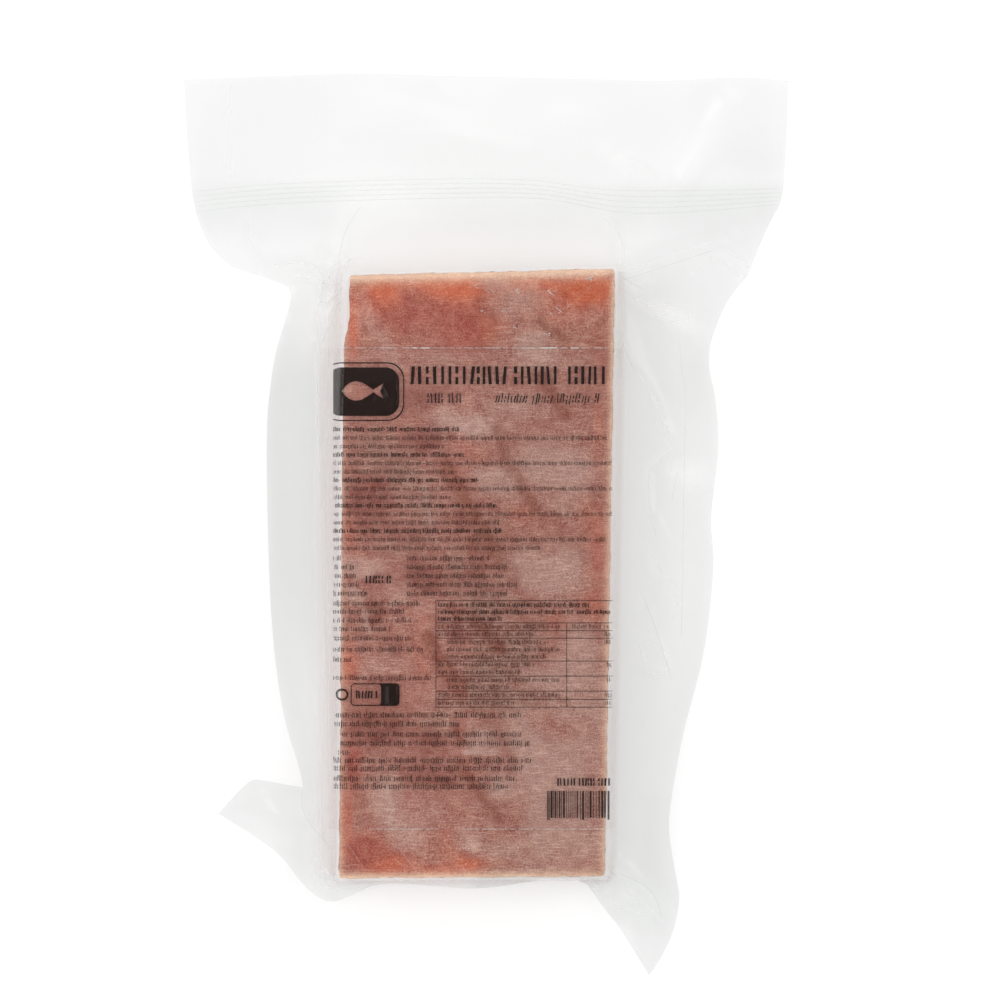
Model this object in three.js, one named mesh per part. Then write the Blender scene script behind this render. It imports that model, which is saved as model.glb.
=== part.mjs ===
// A frozen block of tuna loin in a shut, clear vacuum pouch that lies label side up.
// Millimetres. +X is to the pouch's right, +Y towards its mouth, +Z up.
// The origin is on the table, under the middle of the pouch's outline.
import * as THREE from "three";

// The loin: a sawn block, a little out of square, given by the corners of its upper face.
const LOIN_HEIGHT = 20;
const LOIN_CORNERS = {
  topLeft: [-41.8, 73.4],
  topRight: [38.3, 75.4],
  bottomRight: [35.4, -103.7],
  bottomLeft: [-43.6, -104.3],
};
const LOIN_EDGE_RADIUS = 1.6;
const LOIN_CORNER_RADIUS = 2.5;

// The film: both walls of the skirt together, thicker here than the real two sheets.
const SKIRT_THICKNESS = 0.8;
const SKIRT_REST = 1.3;
const SKIRT_FALL = 15;
// How far the film stands off each side of the loin before both walls meet, and how high they meet.
const TENT = { left: 7, leftTop: 2.5, right: 3, top: 20, bottom: 1.2 };
const MEETING_LIFT = { left: 5.4, right: 4.8, top: 0.8, bottom: 2.4 };
const TENT_SAG = 1.5;
const UNDER_REACH = 3;

// The heat seal below the mouth: fine ridges pressed right across the pouch.
const SEAL_RIDGES = 4;
const SEAL_RELIEF = 0.3;

// The printed label over the loin, wrapped down both long sides.
const LABEL_TOP = 51.6;
const LABEL_BOTTOM = -89.3;
const LABEL_THICKNESS = 0.3;
const LABEL_GAP = 0.3;
const LABEL_DROP_LEFT = [6.4, 2.6];
const LABEL_DROP_RIGHT = 2.2;

// The pouch's outline from above, as the few points that its curves pass through.
const MOUTH_EDGE = [
  [-88.7, 130.5], [-59, 132], [-37, 132.6], [-7, 131.7], [29, 131], [52, 130.5], [74, 131.3], [88.7, 130.2],
];
const SEAL_UPPER_EDGE = [[-86.6, 97.8], [-60, 100.2], [-20, 101.5], [12, 101.3], [40, 98.2], [87.5, 98.7]];
const SEAL_LOWER_EDGE = [
  [-85.5, 92], [-60, 94.4], [-20, 95.8], [15, 95.9], [40, 91.8], [60, 91.9], [86.5, 94.1],
];
const HEM_EDGE = [
  [-78.7, -85.2], [-67.5, -92.2], [-60.1, -98.1], [-54.2, -105.5], [-49.2, -109.9], [-44.8, -111.1],
  [-39.5, -109.3], [-33.6, -106.6], [-27.7, -105.8], [-15.9, -106.5], [-5.3, -107.3], [4.7, -106.6],
  [13.6, -105.2], [24, -105], [29, -105.4], [34.2, -112.3], [40.1, -119.9], [46, -129.4], [48, -132.6],
];
const LEFT_EDGE = {
  mouth: [[-88.7, 130.5], [-88, 115], [-86.6, 97.8]],
  seal: [[-86.6, 97.8], [-85.5, 92]],
  shoulder: [[-85.5, 92], [-81.9, 83.1], [-74.9, 76], [-64.8, 72.5], [-58.1, 69.8]],
  body: [
    [-58.1, 69.8], [-57.5, 65.4], [-61.6, 51.3], [-63.4, 40.7], [-64.5, 26.5], [-64.2, -1.8],
    [-62.8, -32], [-59.8, -54.8], [-54.8, -72.5], [-53.9, -77.5],
  ],
  foot: [[-53.9, -77.5], [-59, -76.6], [-65.4, -75.4], [-68.9, -75.4], [-72.5, -78.4], [-78.7, -85.2]],
};
const RIGHT_EDGE = {
  mouth: [[88.7, 130.2], [88.4, 114.9], [87.5, 98.7]],
  seal: [[87.5, 98.7], [86.5, 94.1]],
  shoulder: [[86.5, 94.1], [82.5, 86.6], [76.6, 72.5]],
  body: [
    [76.6, 72.5], [71, 65.4], [66.6, 54.8], [65.7, 46.5], [67.5, 37.1], [68.4, 23], [66.3, 1.8],
    [66.9, -12.4], [64.2, -37.1], [58.1, -61.9], [54.8, -79.6], [53.9, -90.2], [55.9, -103.5],
  ],
  foot: [[55.9, -103.5], [56.9, -109], [56.3, -114.9], [54.2, -122], [50.4, -129.1], [48, -132.6]],
};
// Where the lines of the loin's long sides run out across the mouth, the seal and the hem.
const LEFT_LINE = { mouth: -46, sealUpper: -45.2, sealLower: -44.8, hem: -44.8 };
const RIGHT_LINE = { mouth: 44, sealUpper: 42.4, sealLower: 41.8, hem: 34.2 };

// Folds of the skirt: where each starts and ends, how high it stands and how wide it is.
const FOLDS = [
  { name: "right shoulder pleat", from: [40, 74], to: [67.5, 83], height: 2.6, width: 3 },
  { name: "right shoulder tuck", from: [39.5, 71], to: [58, 64], height: 2.4, width: 2.6 },
  { name: "right skirt arc", from: [40, 56], to: [52, 28], height: 1.6, width: 3.2 },
  { name: "left dog ear", from: [-62, 74.5], to: [-47.5, 71.5], height: 3.4, width: 2.8 },
  { name: "left dog ear tail", from: [-56, 68], to: [-50.5, 54], height: 2, width: 3.2 },
  { name: "left hem fold", from: [-51, -95], to: [-43.5, -105], height: 2.6, width: 2.6 },
  { name: "left flap spine", from: [-72, -84], to: [-54, -88], height: 2.4, width: 5 },
  { name: "right foot fold", from: [37.5, -101.5], to: [51.5, -116], height: 2.6, width: 3 },
  { name: "right foot tail", from: [37, -106], to: [48, -128], height: 2, width: 3.4 },
];
// Corners of the pouch that stand off the table: where, how high and how far around.
const LIFTED_CORNERS = [
  { name: "left flap", at: [-74, -81], height: 7, reach: 13 },
  { name: "right foot tip", at: [48, -131], height: 4, reach: 15 },
  { name: "mouth left", at: [-88, 131], height: 3.5, reach: 26 },
  { name: "mouth right", at: [89, 131], height: 4.5, reach: 28 },
  { name: "right shoulder", at: [80, 84], height: 3, reach: 16 },
];

// How finely each stretch of the pouch is divided.
const COLUMNS = { skirt: 8, tent: 4, rounding: 2, loin: 6 };
const ROWS = { mouth: 6, seal: 2 * SEAL_RIDGES, shoulder: 8, rounding: 2, loin: 18, tent: 2, foot: 6 };

const { lerp, clamp, smoothstep } = THREE.MathUtils;

const toVectors = (points) => points.map(([x, y]) => new THREE.Vector2(x, y));

// A smooth curve through points, evenly walked by its length.
function curveThrough(points) {
  const curve = new THREE.SplineCurve(toVectors(points));
  return (t) => curve.getPointAt(clamp(t, 0, 1));
}

// The same kind of curve where it never turns back in x: gives the point at a given x.
function curveOverX(points) {
  const steps = 40 * points.length;
  const samples = new THREE.SplineCurve(toVectors(points)).getPoints(steps);
  return (x) => {
    const next = samples.findIndex((p) => p.x >= x);
    if (next <= 0) return samples.at(next === 0 ? 0 : -1).clone();
    const [a, b] = [samples[next - 1], samples[next]];
    return a.clone().lerp(b, (x - a.x) / (b.x - a.x));
  };
}

// Offsets of a point past the loin's four sides, seen from above, with the corners rounded.
function pastLoin(x, y) {
  const { topLeft, topRight, bottomRight, bottomLeft } = LOIN_CORNERS;
  const along = (topLeft[1] - y) / (topLeft[1] - bottomLeft[1]);
  const across = (x - topLeft[0]) / (topRight[0] - topLeft[0]);
  const past = {
    left: lerp(topLeft[0], bottomLeft[0], along) - x,
    right: x - lerp(topRight[0], bottomRight[0], along),
    top: y - lerp(topLeft[1], topRight[1], across),
    bottom: lerp(bottomLeft[1], bottomRight[1], across) - y,
  };
  const sideways = Math.max(past.left, past.right) + LOIN_CORNER_RADIUS;
  const lengthways = Math.max(past.top, past.bottom) + LOIN_CORNER_RADIUS;
  const out = Math.hypot(Math.max(sideways, 0), Math.max(lengthways, 0));
  return {
    distance: Math.min(Math.max(sideways, lengthways), 0) + out - LOIN_CORNER_RADIUS,
    // Unit direction away from the loin.
    nx: out > 0 ? Math.max(sideways, 0) / out : 0,
    ny: out > 0 ? Math.max(lengthways, 0) / out : 0,
    onLeft: past.left > past.right,
    onTop: past.top > past.bottom,
  };
}

// How far the upper wall stands off the loin on its left: close at the pleated corner, then wider.
const leftTentAt = (y) => lerp(TENT.left, TENT.leftTop, smoothstep(y, 40, 72));

// Where the upper wall meets the lower one, measured from the loin in the direction of the point.
function tentReach(where, y) {
  const sideways = where.onLeft ? leftTentAt(y) : TENT.right;
  const lengthways = where.onTop ? TENT.top : TENT.bottom;
  return 1 / Math.hypot(where.nx / sideways, where.ny / lengthways);
}

function distanceToSegment(x, y, [x0, y0], [x1, y1]) {
  const [dx, dy] = [x1 - x0, y1 - y0];
  const t = clamp(((x - x0) * dx + (y - y0) * dy) / (dx * dx + dy * dy), 0, 1);
  return Math.hypot(x - x0 - t * dx, y - y0 - t * dy);
}

const bell = (distance, width) => Math.exp(-((distance / width) ** 2));

// Height of the middle of the film skirt above the table.
function skirtHeight(x, y, where) {
  const sideways = where.onLeft ? MEETING_LIFT.left : MEETING_LIFT.right;
  const lengthways = where.onTop ? MEETING_LIFT.top : MEETING_LIFT.bottom;
  const lift = sideways * where.nx ** 2 + lengthways * where.ny ** 2;
  const away = Math.max(where.distance, 0);
  let height = SKIRT_REST + lift * Math.exp(-away / SKIRT_FALL);
  // Slow waves along the free edges, and the loose walls of the mouth curling up.
  const free = smoothstep(away, 4, 22);
  height += free * 0.9 * (1 + Math.sin(0.105 * y + 0.06 * x + 0.7)) * (where.onTop ? 0.4 : 1);
  const mouth = smoothstep(y, 101, 132);
  height += mouth * (2.2 + 1.3 * Math.sin(0.062 * x + 1.1));
  for (const fold of FOLDS) {
    height += fold.height * bell(distanceToSegment(x, y, fold.from, fold.to), fold.width);
  }
  for (const corner of LIFTED_CORNERS) {
    height += corner.height * bell(Math.hypot(x - corner.at[0], y - corner.at[1]), corner.reach);
  }
  return height;
}

// How far a rounded edge falls short of its full depth, a given way inside it.
function roundingAt(inside) {
  const run = clamp(1 - inside / LOIN_EDGE_RADIUS, 0, 1);
  return LOIN_EDGE_RADIUS * (1 - Math.sqrt(1 - run * run));
}

// The upper wall of the film: over the loin, down its tent, and out along the skirt.
function upperWall(x, y) {
  const where = pastLoin(x, y);
  if (where.distance < 0) {
    const sawn = 0.3 * Math.sin(x / 17 + 0.6) * Math.sin(y / 31) + 0.2 * Math.sin(y / 13 + x / 29);
    return LOIN_HEIGHT + sawn - roundingAt(-where.distance);
  }
  const skirt = skirtHeight(x, y, where) + SKIRT_THICKNESS / 2;
  const share = clamp(where.distance / tentReach(where, y), 0, 1);
  return skirt + (LOIN_HEIGHT - LOIN_EDGE_RADIUS - skirt) * (1 - share) ** TENT_SAG;
}

// The lower wall of the film: flat under the loin, then rising to the skirt.
function lowerWall(x, y) {
  const where = pastLoin(x, y);
  if (where.distance < 0) return roundingAt(-where.distance);
  const skirt = skirtHeight(x, y, where) - SKIRT_THICKNESS / 2;
  return lerp(LOIN_EDGE_RADIUS, skirt, smoothstep(where.distance, 0, UNDER_REACH));
}

// A patch of plane bounded by four curves: upper and lower rows, left and right sides.
function coonsPatch(upper, lower, left, right) {
  const corners = [upper(0), upper(1), lower(0), lower(1)];
  return (s, t) => {
    const point = upper(s).multiplyScalar(1 - t).addScaledVector(lower(s), t);
    point.addScaledVector(left(t), 1 - s).addScaledVector(right(t), s);
    point.addScaledVector(corners[0], -(1 - s) * (1 - t)).addScaledVector(corners[1], -s * (1 - t));
    return point.addScaledVector(corners[2], -(1 - s) * t).addScaledVector(corners[3], -s * t);
  };
}

const straight = (a, b) => (t) => new THREE.Vector2(lerp(a.x, b.x, t), lerp(a.y, b.y, t));
const overX = (curve, from, to) => (s) => curve(lerp(from, to, s));

// The five bands of the pouch from mouth to hem, each cut into left, middle and right patches.
function makeBands() {
  const mouth = curveOverX(MOUTH_EDGE);
  const sealUpper = curveOverX(SEAL_UPPER_EDGE);
  const sealLower = curveOverX(SEAL_LOWER_EDGE);
  const hem = curveOverX(HEM_EDGE);
  const [topLeft, topRight, bottomRight, bottomLeft] = toVectors([
    LOIN_CORNERS.topLeft, LOIN_CORNERS.topRight, LOIN_CORNERS.bottomRight, LOIN_CORNERS.bottomLeft,
  ]);
  // Each row line as its left, middle and right stretch.
  const curvedRow = (curve, points, key) => {
    const stops = [points[0][0], LEFT_LINE[key], RIGHT_LINE[key], points.at(-1)[0]];
    return [0, 1, 2].map((i) => overX(curve, stops[i], stops[i + 1]));
  };
  const loinRow = (outerLeft, left, right, outerRight) => [
    straight(new THREE.Vector2(...outerLeft), left),
    straight(left, right),
    straight(right, new THREE.Vector2(...outerRight)),
  ];
  const rows = [
    curvedRow(mouth, MOUTH_EDGE, "mouth"),
    curvedRow(sealUpper, SEAL_UPPER_EDGE, "sealUpper"),
    curvedRow(sealLower, SEAL_LOWER_EDGE, "sealLower"),
    loinRow(LEFT_EDGE.body[0], topLeft, topRight, RIGHT_EDGE.body[0]),
    loinRow(LEFT_EDGE.foot[0], bottomLeft, bottomRight, RIGHT_EDGE.foot[0]),
    curvedRow(hem, HEM_EDGE, "hem"),
  ];
  return ["mouth", "seal", "shoulder", "body", "foot"].map((name, i) => {
    const [upper, lower] = [rows[i], rows[i + 1]];
    const sides = [
      curveThrough(LEFT_EDGE[name]),
      straight(upper[1](0), lower[1](0)),
      straight(upper[1](1), lower[1](1)),
      curveThrough(RIGHT_EDGE[name]),
    ];
    return [0, 1, 2].map((c) => coonsPatch(upper[c], lower[c], sides[c], sides[c + 1]));
  });
}

const even = (count) => Array.from({ length: count }, (_, i) => i / count);

// Stops across a loin face: close together in both rounded edges, even between them.
function roundedStops(width, rounding, middle) {
  const edge = even(rounding).map((t) => (LOIN_EDGE_RADIUS / width) * (1 - Math.cos((t * Math.PI) / 2)));
  const inner = LOIN_EDGE_RADIUS / width;
  const between = even(middle).map((t) => lerp(inner, 1 - inner, t));
  return [...edge, ...between, 1 - inner, ...edge.slice(1).reverse().map((t) => 1 - t)];
}

// Stops across a skirt, from its free edge to the loin, the last few within the tent.
function skirtStops(width, tent) {
  const share = Math.min(tent / width, 0.6);
  return [
    ...even(COLUMNS.skirt).map((t) => t * (1 - share)),
    ...even(COLUMNS.tent).map((t) => 1 - share * (1 - t)),
  ];
}

// All row positions: the band, and how far down it.
function rowStops() {
  const loinLength = LOIN_CORNERS.topLeft[1] - LOIN_CORNERS.bottomLeft[1];
  const down = (band, stops) => stops.map((t) => ({ band, t }));
  return [
    ...down(0, even(ROWS.mouth)),
    ...down(1, even(ROWS.seal)),
    ...down(2, even(ROWS.shoulder)),
    ...down(3, roundedStops(loinLength, ROWS.rounding, ROWS.loin)),
    ...down(4, even(ROWS.tent).map((t) => t * 0.2)),
    ...down(4, even(ROWS.foot).map((t) => lerp(0.2, 1, t))),
    ...down(4, [1]),
  ];
}

// The points of the pouch seen from above, row by row, with the ridges of the seal.
function makePlan() {
  const bands = makeBands();
  return rowStops().map(({ band, t }) => {
    const [left, middle, right] = bands[band];
    const [outerLeft, innerLeft] = [left(0, t), left(1, t)];
    const [innerRight, outerRight] = [right(0, t), right(1, t)];
    const stops = [
      ...skirtStops(outerLeft.distanceTo(innerLeft), leftTentAt(innerLeft.y)).map((s) => left(s, t)),
      ...roundedStops(innerLeft.distanceTo(innerRight), COLUMNS.rounding, COLUMNS.loin).map((s) => middle(s, t)),
      ...[...skirtStops(innerRight.distanceTo(outerRight), TENT.right), 1].reverse().map((s) => right(1 - s, t)),
    ];
    const ridge = band === 1 ? SEAL_RELIEF * Math.sin(Math.PI * SEAL_RIDGES * t) ** 2 : 0;
    return stops.map((point) => ({ x: point.x, y: point.y, ridge }));
  });
}

// Collects vertices and triangles of one closed body.
class Shell {
  positions = [];
  triangles = [];

  vertex(x, y, z) {
    this.positions.push(x, y, z);
    return this.positions.length / 3 - 1;
  }

  // Four corners, anticlockwise seen from outside.
  quad(a, b, c, d) {
    this.triangles.push(a, b, c, a, c, d);
  }

  geometry() {
    const geometry = new THREE.BufferGeometry();
    geometry.setAttribute("position", new THREE.Float32BufferAttribute(this.positions, 3));
    geometry.setIndex(this.triangles);
    geometry.computeVertexNormals();
    return geometry;
  }
}

// Joins two grids of vertices, one over the other, into a closed sheet.
// Cells that `open` names are left out of the lower face.
function closeSheet(shell, upper, lower, open = () => false) {
  const [lastRow, lastColumn] = [upper.length - 1, upper[0].length - 1];
  for (let r = 0; r < lastRow; r += 1) {
    for (let c = 0; c < lastColumn; c += 1) {
      shell.quad(upper[r][c], upper[r + 1][c], upper[r + 1][c + 1], upper[r][c + 1]);
      if (!open(r, c)) {
        const [a, b, d, e] = [lower[r][c], lower[r + 1][c], lower[r + 1][c + 1], lower[r][c + 1]];
        shell.triangles.push(a, d, b, a, e, d);
      }
    }
  }
  for (let c = 0; c < lastColumn; c += 1) {
    shell.quad(upper[0][c], upper[0][c + 1], lower[0][c + 1], lower[0][c]);
    shell.quad(upper[lastRow][c + 1], upper[lastRow][c], lower[lastRow][c], lower[lastRow][c + 1]);
  }
  for (let r = 0; r < lastRow; r += 1) {
    shell.quad(upper[r + 1][0], upper[r][0], lower[r][0], lower[r + 1][0]);
    shell.quad(upper[r][lastColumn], upper[r + 1][lastColumn], lower[r + 1][lastColumn], lower[r][lastColumn]);
  }
}

// Fills the flat face under the loin, inside its rounded edge, with a few large triangles.
function fillFlatFace(shell, lower, rows, columns) {
  const loop = [];
  for (let c = columns.first; c < columns.last; c += 1) loop.push(lower[rows.first][c]);
  for (let r = rows.first; r < rows.last; r += 1) loop.push(lower[r][columns.last]);
  for (let c = columns.last; c > columns.first; c -= 1) loop.push(lower[rows.last][c]);
  for (let r = rows.last; r > rows.first; r -= 1) loop.push(lower[r][columns.first]);
  const flat = loop.map((i) => new THREE.Vector2(shell.positions[3 * i], shell.positions[3 * i + 1]));
  // The loop runs clockwise seen from above, so it is anticlockwise seen from below.
  for (const triangle of THREE.ShapeUtils.triangulateShape(flat, [])) {
    const [a, b, c] = triangle.map((i) => loop[i]);
    const [p, q, s] = triangle.map((i) => flat[i]);
    const turn = (q.x - p.x) * (s.y - p.y) - (q.y - p.y) * (s.x - p.x);
    shell.triangles.push(...(turn > 0 ? [a, c, b] : [a, b, c]));
  }
}

function makePouch() {
  const plan = makePlan();
  const shell = new Shell();
  const upper = plan.map((row) => row.map((p) => shell.vertex(p.x, p.y, upperWall(p.x, p.y) + p.ridge)));
  const lower = plan.map((row) => row.map((p) => shell.vertex(p.x, p.y, lowerWall(p.x, p.y))));
  const rows = { first: ROWS.mouth + ROWS.seal + ROWS.shoulder + ROWS.rounding };
  rows.last = rows.first + ROWS.loin;
  const columns = { first: COLUMNS.skirt + COLUMNS.tent + COLUMNS.rounding };
  columns.last = columns.first + COLUMNS.loin;
  const isFlat = (r, c) =>
    r >= rows.first && r < rows.last && c >= columns.first && c < columns.last;
  closeSheet(shell, upper, lower, isFlat);
  fillFlatFace(shell, lower, rows, columns);
  return shell.geometry();
}

// A point on the label: a given way off the upper wall, square to it.
function offUpperWall(x, y, away) {
  const step = 0.15;
  const slopeX = (upperWall(x + step, y) - upperWall(x - step, y)) / (2 * step);
  const slopeY = (upperWall(x, y + step) - upperWall(x, y - step)) / (2 * step);
  const normal = new THREE.Vector3(-slopeX, -slopeY, 1).normalize();
  return new THREE.Vector3(x, y, upperWall(x, y)).addScaledVector(normal, away);
}

function makeLabel() {
  const { topLeft, topRight, bottomRight, bottomLeft } = LOIN_CORNERS;
  const rowCount = 18;
  const drop = { left: 5, right: 4 };
  const shell = new Shell();
  const [upper, lower] = [[], []];
  for (let r = 0; r <= rowCount; r += 1) {
    const t = r / rowCount;
    const y = lerp(LABEL_TOP, LABEL_BOTTOM, t);
    const along = (topLeft[1] - y) / (topLeft[1] - bottomLeft[1]);
    const left = lerp(topLeft[0], bottomLeft[0], along);
    const right = lerp(topRight[0], bottomRight[0], along);
    const hang = lerp(LABEL_DROP_LEFT[0], LABEL_DROP_LEFT[1], t);
    const across = [
      ...even(drop.left).map((s) => left - hang * (1 - s)),
      ...roundedStops(right - left, 3, COLUMNS.loin).map((s) => lerp(left, right, s)),
      right,
      ...even(drop.right).map((s) => right + LABEL_DROP_RIGHT * (s + 1 / drop.right)),
    ];
    const place = (away) => across.map((x) => shell.vertex(...offUpperWall(x, y, away).toArray()));
    lower.push(place(LABEL_GAP));
    upper.push(place(LABEL_GAP + LABEL_THICKNESS));
  }
  closeSheet(shell, upper, lower);
  return shell.geometry();
}

function makeMesh(name, geometry, look) {
  const mesh = new THREE.Mesh(geometry, new THREE.MeshStandardMaterial({ metalness: 0, ...look }));
  mesh.name = name;
  return mesh;
}

const pack = new THREE.Group();
pack.add(makeMesh("vacuum_bag", makePouch(), { color: "#c99084", roughness: 0.3 }));
pack.add(makeMesh("label", makeLabel(), { color: "#dccbc6", roughness: 0.35 }));

export default pack;
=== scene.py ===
"""A frozen tuna loin block, label side up, in a shut, clear vacuum pouch.

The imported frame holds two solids: the pouch with the loin inside it, and the label. Here the pouch
becomes a thin film envelope around a loin of its own, and the label a thin printed sheet over both.
Lengths are millimetres in the frame of the pack: +X to the pouch's right, +Y towards its mouth and
+Z up. They turn to metres only where a mesh, a light or the camera is made.
"""
import logging
import math
from dataclasses import dataclass, field
from enum import Enum
from typing import NamedTuple

import bmesh
import bpy
import numpy as np
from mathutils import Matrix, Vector
from mathutils.geometry import tessellate_polygon


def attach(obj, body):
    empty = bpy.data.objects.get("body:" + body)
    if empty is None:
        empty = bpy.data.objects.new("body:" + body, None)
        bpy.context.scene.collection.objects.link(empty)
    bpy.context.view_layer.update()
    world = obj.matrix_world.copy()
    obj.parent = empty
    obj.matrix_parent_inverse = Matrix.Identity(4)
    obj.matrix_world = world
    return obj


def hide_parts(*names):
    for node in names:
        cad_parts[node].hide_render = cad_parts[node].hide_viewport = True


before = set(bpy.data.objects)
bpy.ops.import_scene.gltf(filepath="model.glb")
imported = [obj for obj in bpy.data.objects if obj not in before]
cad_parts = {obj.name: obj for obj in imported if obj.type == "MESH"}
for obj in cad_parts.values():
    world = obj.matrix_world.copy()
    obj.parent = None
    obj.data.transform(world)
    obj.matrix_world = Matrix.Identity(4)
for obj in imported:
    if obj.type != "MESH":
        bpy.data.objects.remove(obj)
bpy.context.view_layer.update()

log = logging.getLogger("tuna_pack")

Array = np.ndarray
Point = tuple[float, float]
Path = tuple[Point, ...]
Spot = tuple[float, float, float]
Colour = tuple[float, float, float, float]
Octaves = tuple[tuple[float, float, int], ...]
Chance = np.random.Generator
Flat = bmesh.types.BMesh
Piece = bpy.types.Object
Material = bpy.types.Material
Tree = bpy.types.NodeTree
Socket = bpy.types.NodeSocket

METRES = 0.001
WHITE = "#ffffff"
# Places of the Mix node's colour sockets, which share their names with its other sockets.
MIX_SHARE, MIX_A, MIX_B = 0, 6, 7
# What makes a Mix node mix colours, and the place of the colour that it gives.
MIX_COLOURS = {"data_type": "RGBA", "result": 2}


def smoothstep(value: Array, start: float, end: float) -> Array:
    """Return 0 before start, 1 after end and a smooth rise between them."""
    share = np.clip((value - start) / (end - start), 0.0, 1.0)
    return share * share * (3.0 - 2.0 * share)


def blend(low: Array | float, high: Array | float, share: Array | float) -> Array | float:
    """Return the value a given share of the way from low to high."""
    return low + (high - low) * share


def bell(distance: Array, width: float) -> Array:
    """Return a smooth hump that is 1 at no distance and gone by about twice the width."""
    return np.exp(-((distance / width) ** 2))


def linear(hex_colour: str) -> Colour:
    """Turn an sRGB hex colour into the linear colour that a shader socket takes.

    Args:
        hex_colour: six hex digits after a hash sign.

    Returns:
        Red, green, blue and an alpha of 1.
    """
    parts = [int(hex_colour[i : i + 2], 16) / 255 for i in (1, 3, 5)]
    return (*[p / 12.92 if p <= 0.04045 else ((p + 0.055) / 1.055) ** 2.4 for p in parts], 1.0)


def add_node(
    tree: Tree, kind: str, inputs: dict | None = None, result: int | str = 0, **settings: object
) -> Socket | None:
    """Add one shader node to a tree.

    Args:
        tree: the material's node tree.
        kind: Blender's name for the type of node, without the ShaderNode in front of it.
        inputs: what goes into its sockets, by name or place: a constant or another node's output.
        result: name or place of the output that is wanted.
        **settings: properties of the node itself.

    Returns:
        That output of the new node, or None for the end node of a material, which has none.
    """
    node = tree.nodes.new(f"ShaderNode{kind}")
    for name, value in settings.items():
        setattr(node, name, value)
    for socket, value in (inputs or {}).items():
        if isinstance(value, Socket):
            tree.links.new(value, node.inputs[socket])
        else:
            node.inputs[socket].default_value = value
    return node.outputs[result] if node.outputs else None


def make_piece(
    name: str,
    vertices: Array,
    faces: list | Array,
    material: Material,
    attributes: dict[str, Array] | None = None,
) -> Piece:
    """Make a smooth mesh object from points in millimetres.

    Args:
        name: the piece's name.
        vertices: one row of x, y, z for each vertex.
        faces: vertex numbers of each face, anticlockwise from outside.
        material: the piece's finish.
        attributes: one number for each vertex, by name, for the material to read.

    Returns:
        The object, at the origin of the pack's frame.
    """
    mesh = bpy.data.meshes.new(name)
    rings = faces.tolist() if isinstance(faces, np.ndarray) else faces
    mesh.from_pydata((np.asarray(vertices) * METRES).tolist(), [], rings)
    for key, values in (attributes or {}).items():
        attribute = mesh.attributes.new(key, "FLOAT", "POINT")
        attribute.data.foreach_set("value", values.astype(np.float32))
    mesh.materials.append(material)
    mesh.shade_smooth()
    piece = bpy.data.objects.new(name, mesh)
    bpy.context.scene.collection.objects.link(piece)
    return piece


def add_bead(vertices: list, faces: list, low: Array, high: Array) -> None:
    """Add one thin closed bead to a mesh.

    Args:
        vertices, faces: the mesh's lists, which grow.
        low: the bead's two lower edges, as two rows of points.
        high: its two upper edges in the same order.
    """
    first, count = len(vertices), low.shape[1]
    rings = [low[0], low[1], high[1], high[0]]
    for ring in rings:
        vertices.extend(ring.tolist())
    starts = [first + corner * count for corner in range(4)]
    for step in range(count - 1):
        for a, b in zip(starts, starts[1:] + starts[:1]):
            faces.append([a + step, a + step + 1, b + step + 1, b + step])
    faces.append(starts[::-1])
    faces.append([start + count - 1 for start in starts])


def stand_for(piece: Piece, slot: str, *nodes: str) -> None:
    """Let a piece ride on the pack's body and replace solids.

    Args:
        piece: the piece.
        slot: the name of its material slot; not used.
        *nodes: the solids that it replaces, if any.
    """
    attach(piece, "root")
    if nodes:
        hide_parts(*nodes)
    log.info("%s: %d faces", piece.name, len(piece.data.polygons))


@dataclass(frozen=True)
class ValueNoise:
    """Smooth seeded noise over the plane, from -1 to 1, with its lumps one pitch apart."""

    pitch: float
    seed: int
    cells: int = 97

    def at(self, x: Array, y: Array) -> Array:
        """Give the noise at points.

        Args:
            x, y: points of the plane.

        Returns:
            The noise at each, from -1 to 1.
        """
        lattice = np.random.default_rng(self.seed).uniform(-1.0, 1.0, (self.cells, self.cells))
        column, row = np.floor(x / self.pitch).astype(int), np.floor(y / self.pitch).astype(int)
        s, t = smoothstep(x / self.pitch - column, 0, 1), smoothstep(y / self.pitch - row, 0, 1)
        near, far = row % self.cells, (row + 1) % self.cells
        left, right = column % self.cells, (column + 1) % self.cells
        low = blend(lattice[near, left], lattice[near, right], s)
        return blend(low, blend(lattice[far, left], lattice[far, right], s), t)


def layered(x: Array, y: Array, octaves: Octaves) -> Array:
    """Return the sum of noises at points, each noise by its pitch, height and seed."""
    return sum(height * ValueNoise(pitch, seed).at(x, y) for pitch, height, seed in octaves)


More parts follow.
